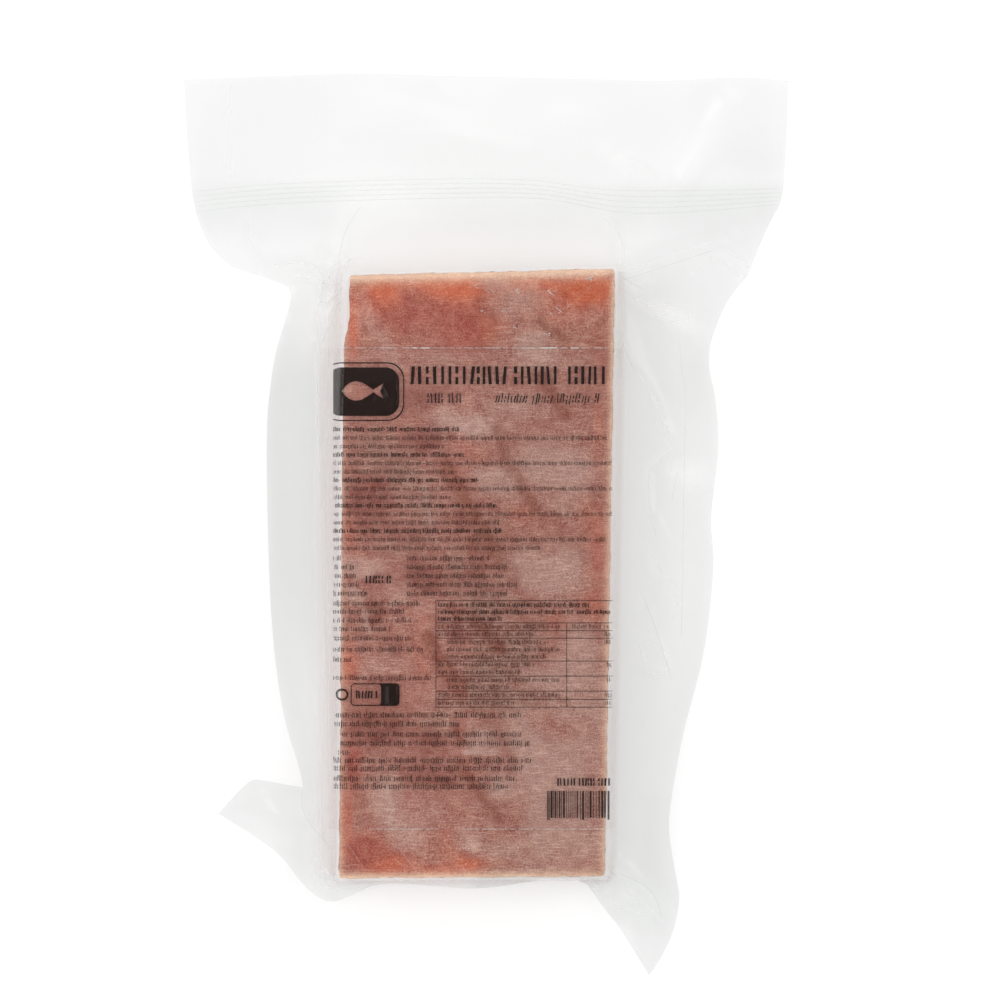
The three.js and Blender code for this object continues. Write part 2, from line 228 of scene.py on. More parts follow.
@dataclass(frozen=True)
class Line:
    """A line in the plane that gives its point at any share of the way along it."""

    share: Array
    x: Array
    y: Array

    @staticmethod
    def bend(points: Path, steps: int = 40) -> Array:
        """Walk the smooth curve through a few points.

        Args:
            points: what the curve passes through.
            steps: how many points each span gets.

        Returns:
            One row of x and y for each point.
        """
        ends = np.asarray([points[0], *points, points[-1]], float)
        t = np.linspace(0, 1, steps, endpoint=False)[:, None]
        spans = []
        for before, start, end, after in zip(ends, ends[1:], ends[2:], ends[3:]):
            leave, arrive = (end - before) / 2, (after - start) / 2
            cubic = (2 * (start - end) + leave + arrive) * t
            spans.append(((cubic + 3 * (end - start) - 2 * leave - arrive) * t + leave) * t + start)
        return np.vstack([*spans, ends[-1:]])

    @classmethod
    def through(cls, points: Path) -> "Line":
        """Make the smooth curve through points, walked evenly by its length.

        Args:
            points: what the curve passes through.

        Returns:
            The curve.
        """
        close = cls.bend(points)
        walked = np.concatenate([[0], np.cumsum(np.hypot(*np.diff(close, axis=0).T))])
        return cls(walked / walked[-1], close[:, 0], close[:, 1])

    @classmethod
    def over_x(cls, points: Path, start: float, end: float) -> "Line":
        """Return the stretch of the smooth curve between two x values, walked evenly in x."""
        close = cls.bend(points)
        return cls((close[:, 0] - start) / (end - start), close[:, 0], close[:, 1])

    @classmethod
    def straight(cls, start: Point, end: Point) -> "Line":
        """Return the straight line between two points."""
        return cls(np.array([0.0, 1.0]), np.array([start[0], end[0]]), np.array([start[1], end[1]]))

    def at(self, share: Array) -> Array:
        """Return the points at the given shares, with x and y in a last dimension."""
        return np.stack([np.interp(share, self.share, values) for values in (self.x, self.y)], -1)


@dataclass(frozen=True)
class Patch:
    """A piece of the plane bounded by an upper, a lower, a left and a right line."""

    upper: Line
    lower: Line
    left: Line
    right: Line

    def at(self, across: Array, down: Array) -> Array:
        """Give points of the patch; the shares broadcast together.

        Args:
            across, down: shares of the way from left to right and from top to bottom.

        Returns:
            The points, with x and y in a last dimension.
        """
        s, t = across[..., None], down[..., None]
        zero, one = np.zeros(1), np.ones(1)
        point = self.upper.at(across) * (1 - t) + self.lower.at(across) * t
        point = point + self.left.at(down) * (1 - s) + self.right.at(down) * s
        point = point - self.upper.at(zero) * (1 - s) * (1 - t) - self.upper.at(one) * s * (1 - t)
        return point - self.lower.at(zero) * (1 - s) * t - self.lower.at(one) * s * t


class Past(NamedTuple):
    """Where points lie against the loin, seen from above."""

    distance: Array
    nx: Array
    ny: Array
    on_left: Array
    on_top: Array


@dataclass(frozen=True)
class LoinShape:
    """The sawn block: a little out of square, given by the corners of its upper face."""

    top_left: Point = (-41.8, 73.4)
    top_right: Point = (38.3, 75.4)
    bottom_right: Point = (35.4, -103.7)
    bottom_left: Point = (-43.6, -104.3)
    height: float = 20.0
    edge_radius: float = 1.6
    corner_radius: float = 1.5
    left_bulge: float = 0.8

    def left_at(self, y: Array) -> Array:
        """Return the x of the left side at a given y; the side bulges a little in its upper half."""
        along = (self.top_left[1] - y) / (self.top_left[1] - self.bottom_left[1])
        return blend(self.top_left[0], self.bottom_left[0], along) - self.left_bulge * bell(y - 15, 42)

    def right_at(self, y: Array) -> Array:
        """Return the x of the right side at a given y."""
        along = (self.top_left[1] - y) / (self.top_left[1] - self.bottom_left[1])
        return blend(self.top_right[0], self.bottom_right[0], along)

    def ends_at(self, x: Array) -> tuple[Array, Array]:
        """Give where the block's two ends lie.

        Args:
            x: where it is measured.

        Returns:
            The y of its upper and of its lower end.
        """
        across = (x - self.top_left[0]) / (self.top_right[0] - self.top_left[0])
        top = blend(self.top_left[1], self.top_right[1], across)
        return top, blend(self.bottom_left[1], self.bottom_right[1], across)

    def past(self, x: Array, y: Array) -> Past:
        """Measure where points lie against the block.

        Args:
            x, y: points of the plane.

        Returns:
            The distance, negative inside, the direction away from the block, and the nearest sides.
        """
        top, bottom = self.ends_at(x)
        left, right, top, bottom = self.left_at(y) - x, x - self.right_at(y), y - top, bottom - y
        sideways = np.maximum(left, right) + self.corner_radius
        lengthways = np.maximum(top, bottom) + self.corner_radius
        out = np.hypot(np.maximum(sideways, 0), np.maximum(lengthways, 0))
        safe = np.maximum(out, 1e-9)
        return Past(
            np.minimum(np.maximum(sideways, lengthways), 0) + out - self.corner_radius,
            np.maximum(sideways, 0) / safe,
            np.maximum(lengthways, 0) / safe,
            left > right,
            top > bottom,
        )

    def off_ends(self, x: Array, y: Array) -> Array:
        """Return how far points lie inside the nearer of the block's two ends."""
        top, bottom = self.ends_at(x)
        return np.minimum(top - y, y - bottom)

    def rounding(self, inside: Array) -> Array:
        """Return how far the rounded edge falls short of its depth, a given way inside it."""
        run = np.clip(1 - inside / self.edge_radius, 0, 1)
        return self.edge_radius * (1 - np.sqrt(1 - run * run))

    def sawn(self, x: Array, y: Array) -> Array:
        """Return the slow unevenness that the saw left in the upper face."""
        return 0.3 * np.sin(x / 17 + 0.6) * np.sin(y / 31) + 0.2 * np.sin(y / 13 + x / 29)


class CreaseShape(Enum):
    """How the film stands along a crease."""

    ROUND = "soft swell"
    SHARP = "pinched ridge"
    STEP = "edge with its left side higher"


@dataclass(frozen=True)
class Crease:
    """One crease of the film: the line that it follows and how it stands along it."""

    path: Path
    height: float
    width: float
    shape: CreaseShape = CreaseShape.SHARP
    fade: float = 0.16
    # Half the width of the line along its crest where the film has gone white, a painted highlight too,
    # or lies double, a painted shade too.
    whitening_highlight: float = 0.0
    double_film_shade: float = 0.0

    def lift(self, x: Array, y: Array) -> Array:
        """Give how far the crease lifts the film.

        Args:
            x, y: points of the plane.

        Returns:
            The lift of each, in millimetres.
        """
        reach = 6 * self.width
        line = np.asarray(self.path, float)
        (x_low, y_low), (x_high, y_high) = line.min(0) - reach, line.max(0) + reach
        near = (x > x_low) & (x < x_high) & (y > y_low) & (y < y_high)
        raised = np.zeros_like(x)
        if not near.any():
            return raised
        px, py = x[near], y[near]
        spans = np.hypot(*np.diff(line, axis=0).T)
        walked, total = 0.0, spans.sum()
        best, side, along = np.full(px.shape, np.inf), np.zeros_like(px), np.zeros_like(px)
        for (x0, y0), (x1, y1), span in zip(line, line[1:], spans):
            dx, dy = (x1 - x0) / span, (y1 - y0) / span
            run = np.clip((px - x0) * dx + (py - y0) * dy, 0, span)
            off_x, off_y = px - x0 - run * dx, py - y0 - run * dy
            distance = np.hypot(off_x, off_y)
            closer = distance < best
            best = np.where(closer, distance, best)
            side = np.where(closer, np.sign(dx * off_y - dy * off_x), side)
            along = np.where(closer, (walked + run) / total, along)
            walked += span
        ends = 1.0
        if self.fade:
            ends = smoothstep(along, 0, self.fade) * (1 - smoothstep(along, 1 - self.fade, 1))
        raised[near] = self.height * ends * self.profile(best, side)
        return raised

    def profile(self, distance: Array, side: Array) -> Array:
        """Give the crease's shape across its line.

        Args:
            distance: how far points lie from the line.
            side: 1 on the left of the line and -1 on its right.

        Returns:
            The share of the full height at each.
        """
        if self.shape is CreaseShape.ROUND:
            return bell(distance, self.width)
        if self.shape is CreaseShape.SHARP:
            return np.exp(-distance / self.width)
        step = 0.5 + 0.5 * np.tanh(side * distance / (0.35 * self.width))
        return step * np.exp(-distance / (2.5 * self.width))


ROUND, SHARP, STEP = CreaseShape.ROUND, CreaseShape.SHARP, CreaseShape.STEP

# The folds that the solid has too.
MAIN_FOLDS = {
    "right shoulder pleat": Crease(((40, 74), (67.5, 83)), 2.6, 3, ROUND, 0.0),
    "right shoulder tuck": Crease(((39.5, 71), (58, 64)), 2.4, 2.6, ROUND, 0.0),
    "right skirt arc": Crease(((40, 56), (52, 28)), 0.8, 3.6, ROUND, 0.0),
    "left dog ear": Crease(((-62, 74.5), (-47.5, 71.5)), 3.4, 2.8, ROUND, 0.0),
    "left dog ear tail": Crease(((-56, 68), (-50.5, 54)), 2, 3.2, ROUND, 0.0),
    "left hem fold": Crease(((-51, -95), (-43.5, -105)), 2.6, 2.6, ROUND, 0.0),
    "left flap spine": Crease(((-72, -84), (-54, -88)), 1.6, 6, ROUND, 0.0),
    "right foot fold": Crease(((37.5, -101.5), (51.5, -116)), 2.6, 3, ROUND, 0.0),
    "right foot tail": Crease(((37, -106), (48, -128)), 2, 3.4, ROUND, 0.0),
}
# Finer creases, pinches and sealed edges, which only the film has.
FINE_CREASES = {
    "mouth arch": Crease(
        ((-43.9, 109.3), (-37.1, 115.2), (-14.7, 116.7), (13, 112.6), (25.9, 102.9)), 0.9, 3, STEP
    ),
    "mouth swell": Crease(((-18.9, 129), (-4.7, 122), (14.1, 113.5)), 1.1, 6, ROUND),
    "mouth pinch": Crease(((40.4, 108.2), (48.3, 102), (53.6, 97)), 0.9, 1.6),
    "mouth sweep": Crease(((74.6, 127.9), (64.5, 113.2), (53.6, 97)), 1.3, 4, ROUND),
    "mouth right weld": Crease(((84.6, 129), (84.2, 100)), 0.3, 0.8, STEP, 0.02),
    "mouth left weld": Crease(
        ((-74.9, 101.5), (-74.9, 129.5)), 0.3, 1.0, STEP, 0.02, whitening_highlight=0.06
    ),
    "dome right": Crease(
        ((33.9, 91.4), (38.9, 85.5), (40.4, 81), (39.8, 75)), 0.9, 1.2, whitening_highlight=0.08
    ),
    "dome left": Crease(((-36.5, 94), (-41, 87), (-43.5, 78)), 0.7, 1.4, double_film_shade=0.08),
    "shoulder wrinkle a": Crease(((-70.1, 91), (-69, 84), (-66.5, 78)), 0.6, 1.0, whitening_highlight=0.07),
    "shoulder wrinkle b": Crease(((-66.5, 90), (-65.2, 83.5)), 0.4, 0.9),
    "dog ear back": Crease(
        ((-62.2, 76.3), (-54.5, 76.9), (-49.5, 75.1), (-47.4, 72.8)), 1.3, 0.8, whitening_highlight=0.11
    ),
    "dog ear lip": Crease(
        ((-47.4, 72.8), (-48.9, 66), (-46.6, 65.1), (-43.6, 68.4), (-41, 73)), 1.1, 0.7, whitening_highlight=0.15
    ),
    "dog ear facet": Crease(
        ((-56, 73.4), (-51.9, 72.5), (-47.7, 71.9), (-48.3, 70.4), (-51.9, 71)),
        0.7, 0.6, whitening_highlight=0.1,
    ),
    "dog ear curl": Crease(((-41.8, 75.1), (-40.1, 77.5), (-36.8, 77.8)), 0.8, 0.7, whitening_highlight=0.11),
    "left weld": Crease(
        (
            (-49.5, 64.8), (-50.4, 55), (-49.8, 41.3), (-49.5, 25), (-45.9, -31.2), (-46.2, -51.9),
            (-45.5, -81.3),
        ),
        0.35, 0.7, STEP, 0.04, 0.10,
    ),
    "left side pleat": Crease(((-43.6, 66), (-48.3, 52.8)), 1.0, 0.9, whitening_highlight=0.1),
    "right pleat upper": Crease(((38.6, 73.6), (67.5, 83.2)), 1.2, 0.7, whitening_highlight=0.08),
    "right pleat lower": Crease(((39.4, 71.4), (67, 80.6)), 0.9, 0.6, double_film_shade=0.08),
    "right pleat facet": Crease(
        ((68.7, 81.3), (77.8, 76), (75.4, 72.8), (69.5, 77.5)), 0.9, 0.8, whitening_highlight=0.09
    ),
    "right pleat tip": Crease(((59.8, 74.3), (65.1, 76.6), (66.3, 78.7)), 0.8, 0.7, whitening_highlight=0.08),
    "right tuck hollow": Crease(((38.9, 73.1), (46.3, 69)), -0.9, 0.8, double_film_shade=0.1),
    "right tuck ridge": Crease(((38.9, 70.1), (43, 67.2), (47.7, 64.2)), 1.1, 0.8, whitening_highlight=0.1),
    "right tuck facet": Crease(
        ((47.7, 64.2), (51.3, 65.1), (59.2, 62.2), (57.8, 59.2), (48.9, 61.6)),
        0.8, 0.7, whitening_highlight=0.08,
    ),
    "right tuck shade": Crease(((48.9, 61.6), (57.5, 58.1), (56.6, 55.4)), 0.7, 0.7),
    "right weld": Crease(
        ((57.5, -34.2), (58.6, 32.4), (57.8, 43.6), (56.9, 54.8)), 0.35, 0.7, STEP, 0.04, 0.0, 0.08
    ),
    "right arc": Crease(
        ((39.5, 56.6), (41.6, 49.5), (47.2, 40.1), (50.7, 32.4), (52.5, 27.7)),
        1.0, 0.9, whitening_highlight=0.07,
    ),
    "right wander": Crease(
        (
            (42, 49), (43.9, 44.6), (46.3, 41.8), (50.1, 36.4), (52.2, 30.2), (54.2, 27.4),
            (54.2, 22), (48.6, 16.5), (48, 13), (48.3, 6.2), (50.1, -4.1),
        ),
        0.5, 1.1, ROUND, 0.08, 0.09,
    ),
    "right wander low": Crease(
        ((49.8, -10.3), (51.9, -15.2), (54.8, -18.6), (56, -22.7), (55.1, -28.3)),
        0.5, 1.1, ROUND, 0.1, 0.08,
    ),
    "right loop": Crease(
        (
            (45.2, -35.5), (46.4, -41.4), (49.5, -44.2), (52.8, -43), (52.4, -38), (49, -34.5),
            (45.8, -35),
        ),
        0.4, 0.9, ROUND, 0.0, 0.08,
    ),
    "right crumple a": Crease(((56.3, 15.3), (54.8, 7.1)), 0.6, 0.9, double_film_shade=0.08),
    "right crumple b": Crease(((49.8, 4.1), (54.2, -6.2)), 0.7, 1.0),
    "right crumple c": Crease(((45.4, -19.5), (50, -31), (54.8, -46)), 0.8, 1.2, double_film_shade=0.08),
    "right foot tone": Crease(((36, -98.7), (53.6, -94.9)), 0.8, 1.6, STEP),
    "right foot edge": Crease(
        ((36, -100.2), (37.7, -102.9), (51.9, -116.4)), 1.2, 0.7, whitening_highlight=0.08
    ),
    "right foot loop": Crease(
        ((35.7, -102.3), (36, -108.7), (37.7, -111.4), (44.2, -113.8), (51.9, -116.4)),
        0.9, 0.7, whitening_highlight=0.07,
    ),
    "right foot lens": Crease(
        ((39.8, -102.9), (45.1, -105.5), (49.5, -109.3), (51.9, -116.1)), 0.8, 0.8, double_film_shade=0.07
    ),
    "left flap fold": Crease(
        ((-53.9, -77.8), (-54.2, -82.2), (-52.8, -86.3), (-49.5, -90.8), (-45.4, -95.2)),
        1.2, 0.9, double_film_shade=0.09,
    ),
    "left flap hollow": Crease(((-65.7, -76), (-60.1, -86.3), (-54.5, -82.2)), -0.4, 1.6),
    "left hem ridge": Crease(
        ((-50.4, -96.4), (-48.3, -99.9), (-44.8, -103.9), (-42.4, -105.2)), 1.1, 0.8, whitening_highlight=0.14
    ),
    "left hem wedge": Crease(((-49.2, -83.4), (-45.8, -93.7), (-45.6, -97)), -0.8, 0.8),
}


@dataclass(frozen=True)
class Lift:
    """A corner of the pouch that stands off the table."""

    at: Point
    height: float
    reach: float


LIFTED_CORNERS = {
    "left flap": Lift((-74, -81), 5, 14),
    "right foot tip": Lift((48, -131), 4, 15),
    "mouth left": Lift((-88, 131), 3.5, 26),
    "mouth right": Lift((89, 131), 4.5, 28),
    "right shoulder": Lift((80, 84), 3, 16),
}


@dataclass(frozen=True)
class PouchOutline:
    """The pouch's outline from above, as the few points that its curves pass through."""

    mouth: Path = (
        (-88.7, 130.5), (-59, 132), (-37, 132.6), (-7, 131.7), (29, 131), (52, 130.5), (74, 131.3),
        (88.7, 130.2),
    )
    seal_upper: Path = ((-86.6, 97.8), (-60, 100.2), (-20, 101.5), (12, 101.3), (40, 98.2), (87.5, 98.7))
    seal_lower: Path = (
        (-85.5, 92), (-60, 94.4), (-20, 95.8), (15, 95.9), (40, 91.8), (60, 91.9), (86.5, 94.1),
    )
    hem: Path = (
        (-78.7, -85.2), (-67.5, -92.2), (-60.1, -98.1), (-54.2, -105.5), (-49.2, -109.9),
        (-44.8, -111.1), (-39.5, -109.3), (-33.6, -106.6), (-27.7, -105.8), (-15.9, -106.5),
        (-5.3, -107.3), (4.7, -106.6), (13.6, -105.2), (24, -105), (29, -105.4), (34.2, -112.3),
        (40.1, -119.9), (46, -129.4), (48, -132.6),
    )
    left: tuple[Path, ...] = (
        ((-88.7, 130.5), (-88, 115), (-86.6, 97.8)),
        ((-86.6, 97.8), (-85.5, 92)),
        ((-85.5, 92), (-81.9, 83.1), (-74.9, 76), (-64.8, 72.5), (-58.1, 69.8)),
        (
            (-58.1, 69.8), (-57.5, 65.4), (-61.6, 51.3), (-63.4, 40.7), (-64.5, 26.5), (-64.2, -1.8),
            (-62.8, -32), (-59.8, -54.8), (-54.8, -72.5), (-53.9, -77.5),
        ),
        ((-53.9, -77.5), (-59, -76.6), (-65.4, -75.4), (-68.9, -75.4), (-72.5, -78.4), (-78.7, -85.2)),
    )
    right: tuple[Path, ...] = (
        ((88.7, 130.2), (88.4, 114.9), (87.5, 98.7)),
        ((87.5, 98.7), (86.5, 94.1)),
        ((86.5, 94.1), (82.5, 86.6), (76.6, 72.5)),
        (
            (76.6, 72.5), (71, 65.4), (66.6, 54.8), (65.7, 46.5), (67.5, 37.1), (68.4, 23),
            (66.3, 1.8), (66.9, -12.4), (64.2, -37.1), (58.1, -61.9), (54.8, -79.6), (53.9, -90.2),
            (55.9, -103.5),
        ),
        ((55.9, -103.5), (56.9, -109), (56.3, -114.9), (54.2, -122), (50.4, -129.1), (48, -132.6)),
    )
    # Where the lines of the loin's long sides run out across mouth, seal and hem.
    left_line: tuple[float, ...] = (-46, -45.2, -44.8, -44.8)
    right_line: tuple[float, ...] = (44, 42.4, 41.8, 34.2)

    def bands(self, loin: LoinShape) -> list[list[Patch]]:
        """Divide the pouch into patches.

        Args:
            loin: the block that the pouch lies round.

        Returns:
            The bands from mouth to hem, each as its left, middle and right patch.
        """
        rows = [
            self.curved_row(points, number)
            for number, points in enumerate((self.mouth, self.seal_upper, self.seal_lower, self.hem))
        ]
        upper = self.loin_row(self.left[3][0], loin.top_left, loin.top_right, self.right[3][0])
        lower = self.loin_row(self.left[4][0], loin.bottom_left, loin.bottom_right, self.right[4][0])
        rows = [*rows[:3], upper, lower, rows[3]]
        made = []
        for number, (above, below) in enumerate(zip(rows, rows[1:])):
            start, end = np.zeros(1), np.ones(1)
            sides = [
                Line.through(self.left[number]),
                Line.straight(above[1].at(start)[0], below[1].at(start)[0]),
                Line.straight(above[1].at(end)[0], below[1].at(end)[0]),
                Line.through(self.right[number]),
            ]
            made.append([Patch(above[i], below[i], sides[i], sides[i + 1]) for i in range(3)])
        return made

    def curved_row(self, points: Path, number: int) -> list[Line]:
        """Return a curved edge as its left, middle and right stretch."""
        stops = [points[0][0], self.left_line[number], self.right_line[number], points[-1][0]]
        return [Line.over_x(points, start, end) for start, end in zip(stops, stops[1:])]

    @staticmethod
    def loin_row(*points: Point) -> list[Line]:
        """Return the row at one end of the loin as three straight stretches."""
        return [Line.straight(start, end) for start, end in zip(points, points[1:])]


@dataclass(frozen=True)
class Columns:
    """How many cells the pouch has across each of its stretches."""

    skirt: int = 42
    tent: int = 12
    rounding: int = 4
    loin: int = 26


@dataclass(frozen=True)
class Rows:
    """How many cells the pouch has along each of its stretches."""

    mouth: int = 50
    seal: int = 24
    shoulder: int = 40
    rounding: int = 4
    loin: int = 140
    tent: int = 6
    foot: int = 42


def even(count: int) -> Array:
    """Return evenly spaced shares from 0 up to, but without, 1."""
    return np.arange(count) / count


@dataclass(frozen=True)
class Zone:
    """A soft oval of a surface, as seen from above."""

    centre: Point
    radii: Point
    strength: float
    turn: float = 0.0

    def share(self, x: Array, y: Array) -> Array:
        """Give how strong the zone is at points.

        Args:
            x, y: points of the plane.

        Returns:
            The zone's strength at each.
        """
        angle = math.radians(self.turn)
        dx, dy = x - self.centre[0], y - self.centre[1]
        along = dx * math.cos(angle) + dy * math.sin(angle)
        across = dy * math.cos(angle) - dx * math.sin(angle)
        return self.strength * np.exp(-((along / self.radii[0]) ** 2) - (across / self.radii[1]) ** 2)


def zones(*rows: tuple[float, ...]) -> tuple[Zone, ...]:
    """Return zones by rows of x, y, both radii, the strength and, for some, the turn in degrees."""
    return tuple(Zone((x, y), (along, across), *rest) for x, y, along, across, *rest in rows)


# Painted shade and highlights of the film's folds: where it is painted greyer, or clearer below
# zero, than the rest of its stretch.
FILM_PAINTED_SHADE_AND_HIGHLIGHTS = zones(
    (62, 43, 8, 11, 0.10), (72, 87, 16, 9, 0.06), (-12, 121, 18, 4, -0.10, -14),
    (22, 122, 13, 6, -0.08, 10), (77, 106, 9, 8, 0.08), (-74, -83, 7, 7, 0.12),
    (55.7, 60.7, 8, 2.6, -0.22, -25), (60, 14.7, 5.5, 3.4, -0.20), (61, 110, 17, 3.5, -0.10, 58),
    (39, 107, 9, 2.0, -0.08, -42),
)
# Where it is milky: creased or drawn tight against the loin. The milk there is also painted light:
# highlights of its folds, and a lift of the shade beside the loin.
MILK_AND_PAINTED_LIGHT = zones(
    (-43.6, 63, 1.4, 11, 0.7), (-46.6, -77, 2.6, 26, 0.4), (56, 15.5, 2.6, 3.0, 0.8),
    (62.5, 12, 4, 8, 0.45), (52.5, 62, 5.5, 2.0, 0.9, -22), (62, 57, 4, 4.5, 0.4),
    (46.5, 103, 8, 1.4, 0.5, -40), (58, 101, 6, 2, 0.5, 35), (50, -14, 2.2, 7, 0.35, 10),
    (49, -40, 3.5, 5, 0.3),
)


@dataclass
class Pouch:
    """The shut vacuum pouch: a front and a back sheet of film, sealed all round the loin."""

    loin: LoinShape
    outline: PouchOutline = field(default_factory=PouchOutline)
    columns: Columns = field(default_factory=Columns)
    rows: Rows = field(default_factory=Rows)
    # Room between the two sheets in the skirt, and how much more of it there is in the open mouth.
    sheet_gap: float = 0.3
    mouth_gap: float = 0.9
    # How high the skirt's middle lies, and over what length it falls to that beside the loin.
    skirt_rest: float = 1.3
    skirt_fall: float = 15.0
    # How far off each side of the loin the sheets meet, and how much higher than the skirt.
    tent_left: float = 7.0
    tent_left_top: float = 2.5
    tent_right: float = 3.0
    tent_top: float = 20.0
    tent_bottom: float = 1.2
    lift_left: float = 5.4
    lift_right: float = 4.8
    lift_top: float = 0.8
    lift_bottom: float = 2.4
    # How hollow the film hangs between the loin's edge and the skirt.
    tent_sag: float = 1.5
    # How far from the loin the back sheet has left the table.
    under_reach: float = 3.0
    seal_ridges: int = 4
    seal_relief: float = 0.06
    # The free skirt's slow waves: their height, and how far off the loin they start and are full.
    wave: float = 0.9
    wave_reach: Point = (4.0, 22.0)
    # How far the mouth flap rises at its edge, and how much that varies across it.
    mouth_rise: Point = (2.2, 1.3)
    # How much of the crinkles shows over the loin, and how much of them welds and the seal take away.
    tight_crinkle: float = 0.10
    weld_calm: float = 0.65
    seal_calm: float = 0.8
    # Nothing of the film comes nearer to the table than this.
    clear_of_table: float = 0.03
    # Pitch, height and seed of the crinkles that handling left in each sheet.
    front_crinkle: Octaves = ((11.0, 0.13, 11), (5.2, 0.055, 12), (2.3, 0.018, 13))
    back_crinkle: Octaves = ((13.0, 0.10, 21), (6.1, 0.06, 22), (2.7, 0.03, 23))

    def left_tent_at(self, y: Array) -> Array:
        """Return how far the film stands off the loin's left side, less at the pleated corner."""
        return blend(self.tent_left, self.tent_left_top, smoothstep(y, 40, 72))

    def tent_reach(self, where: Past, y: Array) -> Array:
        """Give how far from the loin the two sheets meet.

        Args:
            where: how the points lie against the loin.
            y: their y.

        Returns:
            The distance in the direction of each point.
        """
        sideways = np.where(where.on_left, self.left_tent_at(y), self.tent_right)
        lengthways = np.where(where.on_top, self.tent_top, self.tent_bottom)
        return 1 / np.maximum(np.hypot(where.nx / sideways, where.ny / lengthways), 1e-9)

    def skirt_height(self, x: Array, y: Array, where: Past) -> Array:
        """Give how high the film skirt stands above the table.

        Args:
            x, y: points of the plane.
            where: how they lie against the loin.

        Returns:
            The height of the skirt's middle at each.
        """
        sideways = np.where(where.on_left, self.lift_left, self.lift_right)
        lengthways = np.where(where.on_top, self.lift_top, self.lift_bottom)
        lift = sideways * where.nx**2 + lengthways * where.ny**2
        away = np.maximum(where.distance, 0)
        height = self.skirt_rest + lift * np.exp(-away / self.skirt_fall)
        free = smoothstep(away, *self.wave_reach)
        waves = self.wave * (1 + np.sin(0.105 * y + 0.06 * x + 0.7))
        height = height + free * waves * np.where(where.on_top, 0.4, 1.0)
        rise, swing = self.mouth_rise
        height = height + smoothstep(y, 101, 132) * (rise + swing * np.sin(0.062 * x + 1.1))
        for fold in MAIN_FOLDS.values():
            height = height + fold.lift(x, y)
        for corner in LIFTED_CORNERS.values():
            away = np.hypot(x - corner.at[0], y - corner.at[1])
            height = height + corner.height * bell(away, corner.reach)
        for crease in FINE_CREASES.values():
            height = height + crease.lift(x, y)
        return height

    def half_gap(self, y: Array) -> Array:
        """Return half the room between the two sheets, more beyond the seal, where they are loose."""
        return (self.sheet_gap + self.mouth_gap * smoothstep(y, 102, 128)) / 2

    def front(self, x: Array, y: Array) -> Array:
        """Give the height of the front sheet: over the loin, down its tent and out in the skirt.

        Args:
            x, y: points of the plane.

        Returns:
            The height at each.
        """
        where = self.loin.past(x, y)
        over = self.loin.height + self.loin.sawn(x, y) - self.loin.rounding(-where.distance)
        skirt = self.skirt_height(x, y, where) + self.half_gap(y)
        share = np.clip(where.distance / self.tent_reach(where, y), 0, 1)
        shoulder = self.loin.height - self.loin.edge_radius
        beside = skirt + (shoulder - skirt) * (1 - share) ** self.tent_sag
        loose = blend(self.tight_crinkle, 1.0, smoothstep(where.distance, -1.0, 6.0))
        # The welded side bands, the mouth flap and the hem flaps are smoother than the skirt.
        welded = np.maximum(smoothstep(where.distance, 14, 19), smoothstep(-y, 84, 96))
        loose = loose * (1 - self.weld_calm * np.maximum(welded, smoothstep(y, 80, 100)))
        # The two welded sheets of a seal keep flat.
        loose = loose * (1 - self.seal_calm * smoothstep(y, 90, 93) * (1 - smoothstep(y, 102, 105)))
        crinkle = loose * layered(x, y, self.front_crinkle)
        return np.where(where.distance < 0, over, beside) + crinkle

    def back(self, x: Array, y: Array) -> Array:
        """Give the height of the back sheet: flat under the loin, then rising to the skirt.

        Args:
            x, y: points of the plane.

        Returns:
            The height at each.
        """
        where = self.loin.past(x, y)
        skirt = self.skirt_height(x, y, where) - self.half_gap(y)
        rise = smoothstep(where.distance, 0, self.under_reach)
        beside = blend(self.loin.edge_radius, skirt, rise)
        crinkle = rise * layered(x, y, self.front_crinkle) * 0.9
        crinkle = crinkle + rise * smoothstep(y, 102, 118) * layered(x, y, self.back_crinkle)
        return np.where(where.distance < 0, self.loin.rounding(-where.distance), beside) + crinkle

    def rounded_stops(self, width: Array | float, rounding: int, middle: int) -> Array:
        """Return shares across a loin face, close together in both rounded edges.

        Args:
            width: the width of the face, one number or one for each row.
            rounding: cells in each rounded edge.
            middle: cells between them.

        Returns:
            The shares, in a last dimension, without the final 1.
        """
        inner = np.atleast_1d(self.loin.edge_radius / np.asarray(width, float))[:, None]
        curve = 1 - np.cos(even(rounding) * math.pi / 2)
        between = inner + (1 - 2 * inner) * even(middle)
        return np.hstack([inner * curve, between, 1 - inner, 1 - inner * curve[:0:-1]])

    def skirt_stops(self, width: Array, tent: Array | float) -> Array:
        """Space points across a skirt from its free edge, closer together in the tent.

        Args:
            width: the width of the skirt in each row.
            tent: how much of it belongs to the tent.

        Returns:
            The shares, in a last dimension.
        """
        tent_share = np.minimum(tent / width, 0.6)[:, None]
        outer = even(self.columns.skirt) * (1 - tent_share)
        return np.hstack([outer, 1 - tent_share * (1 - even(self.columns.tent))])

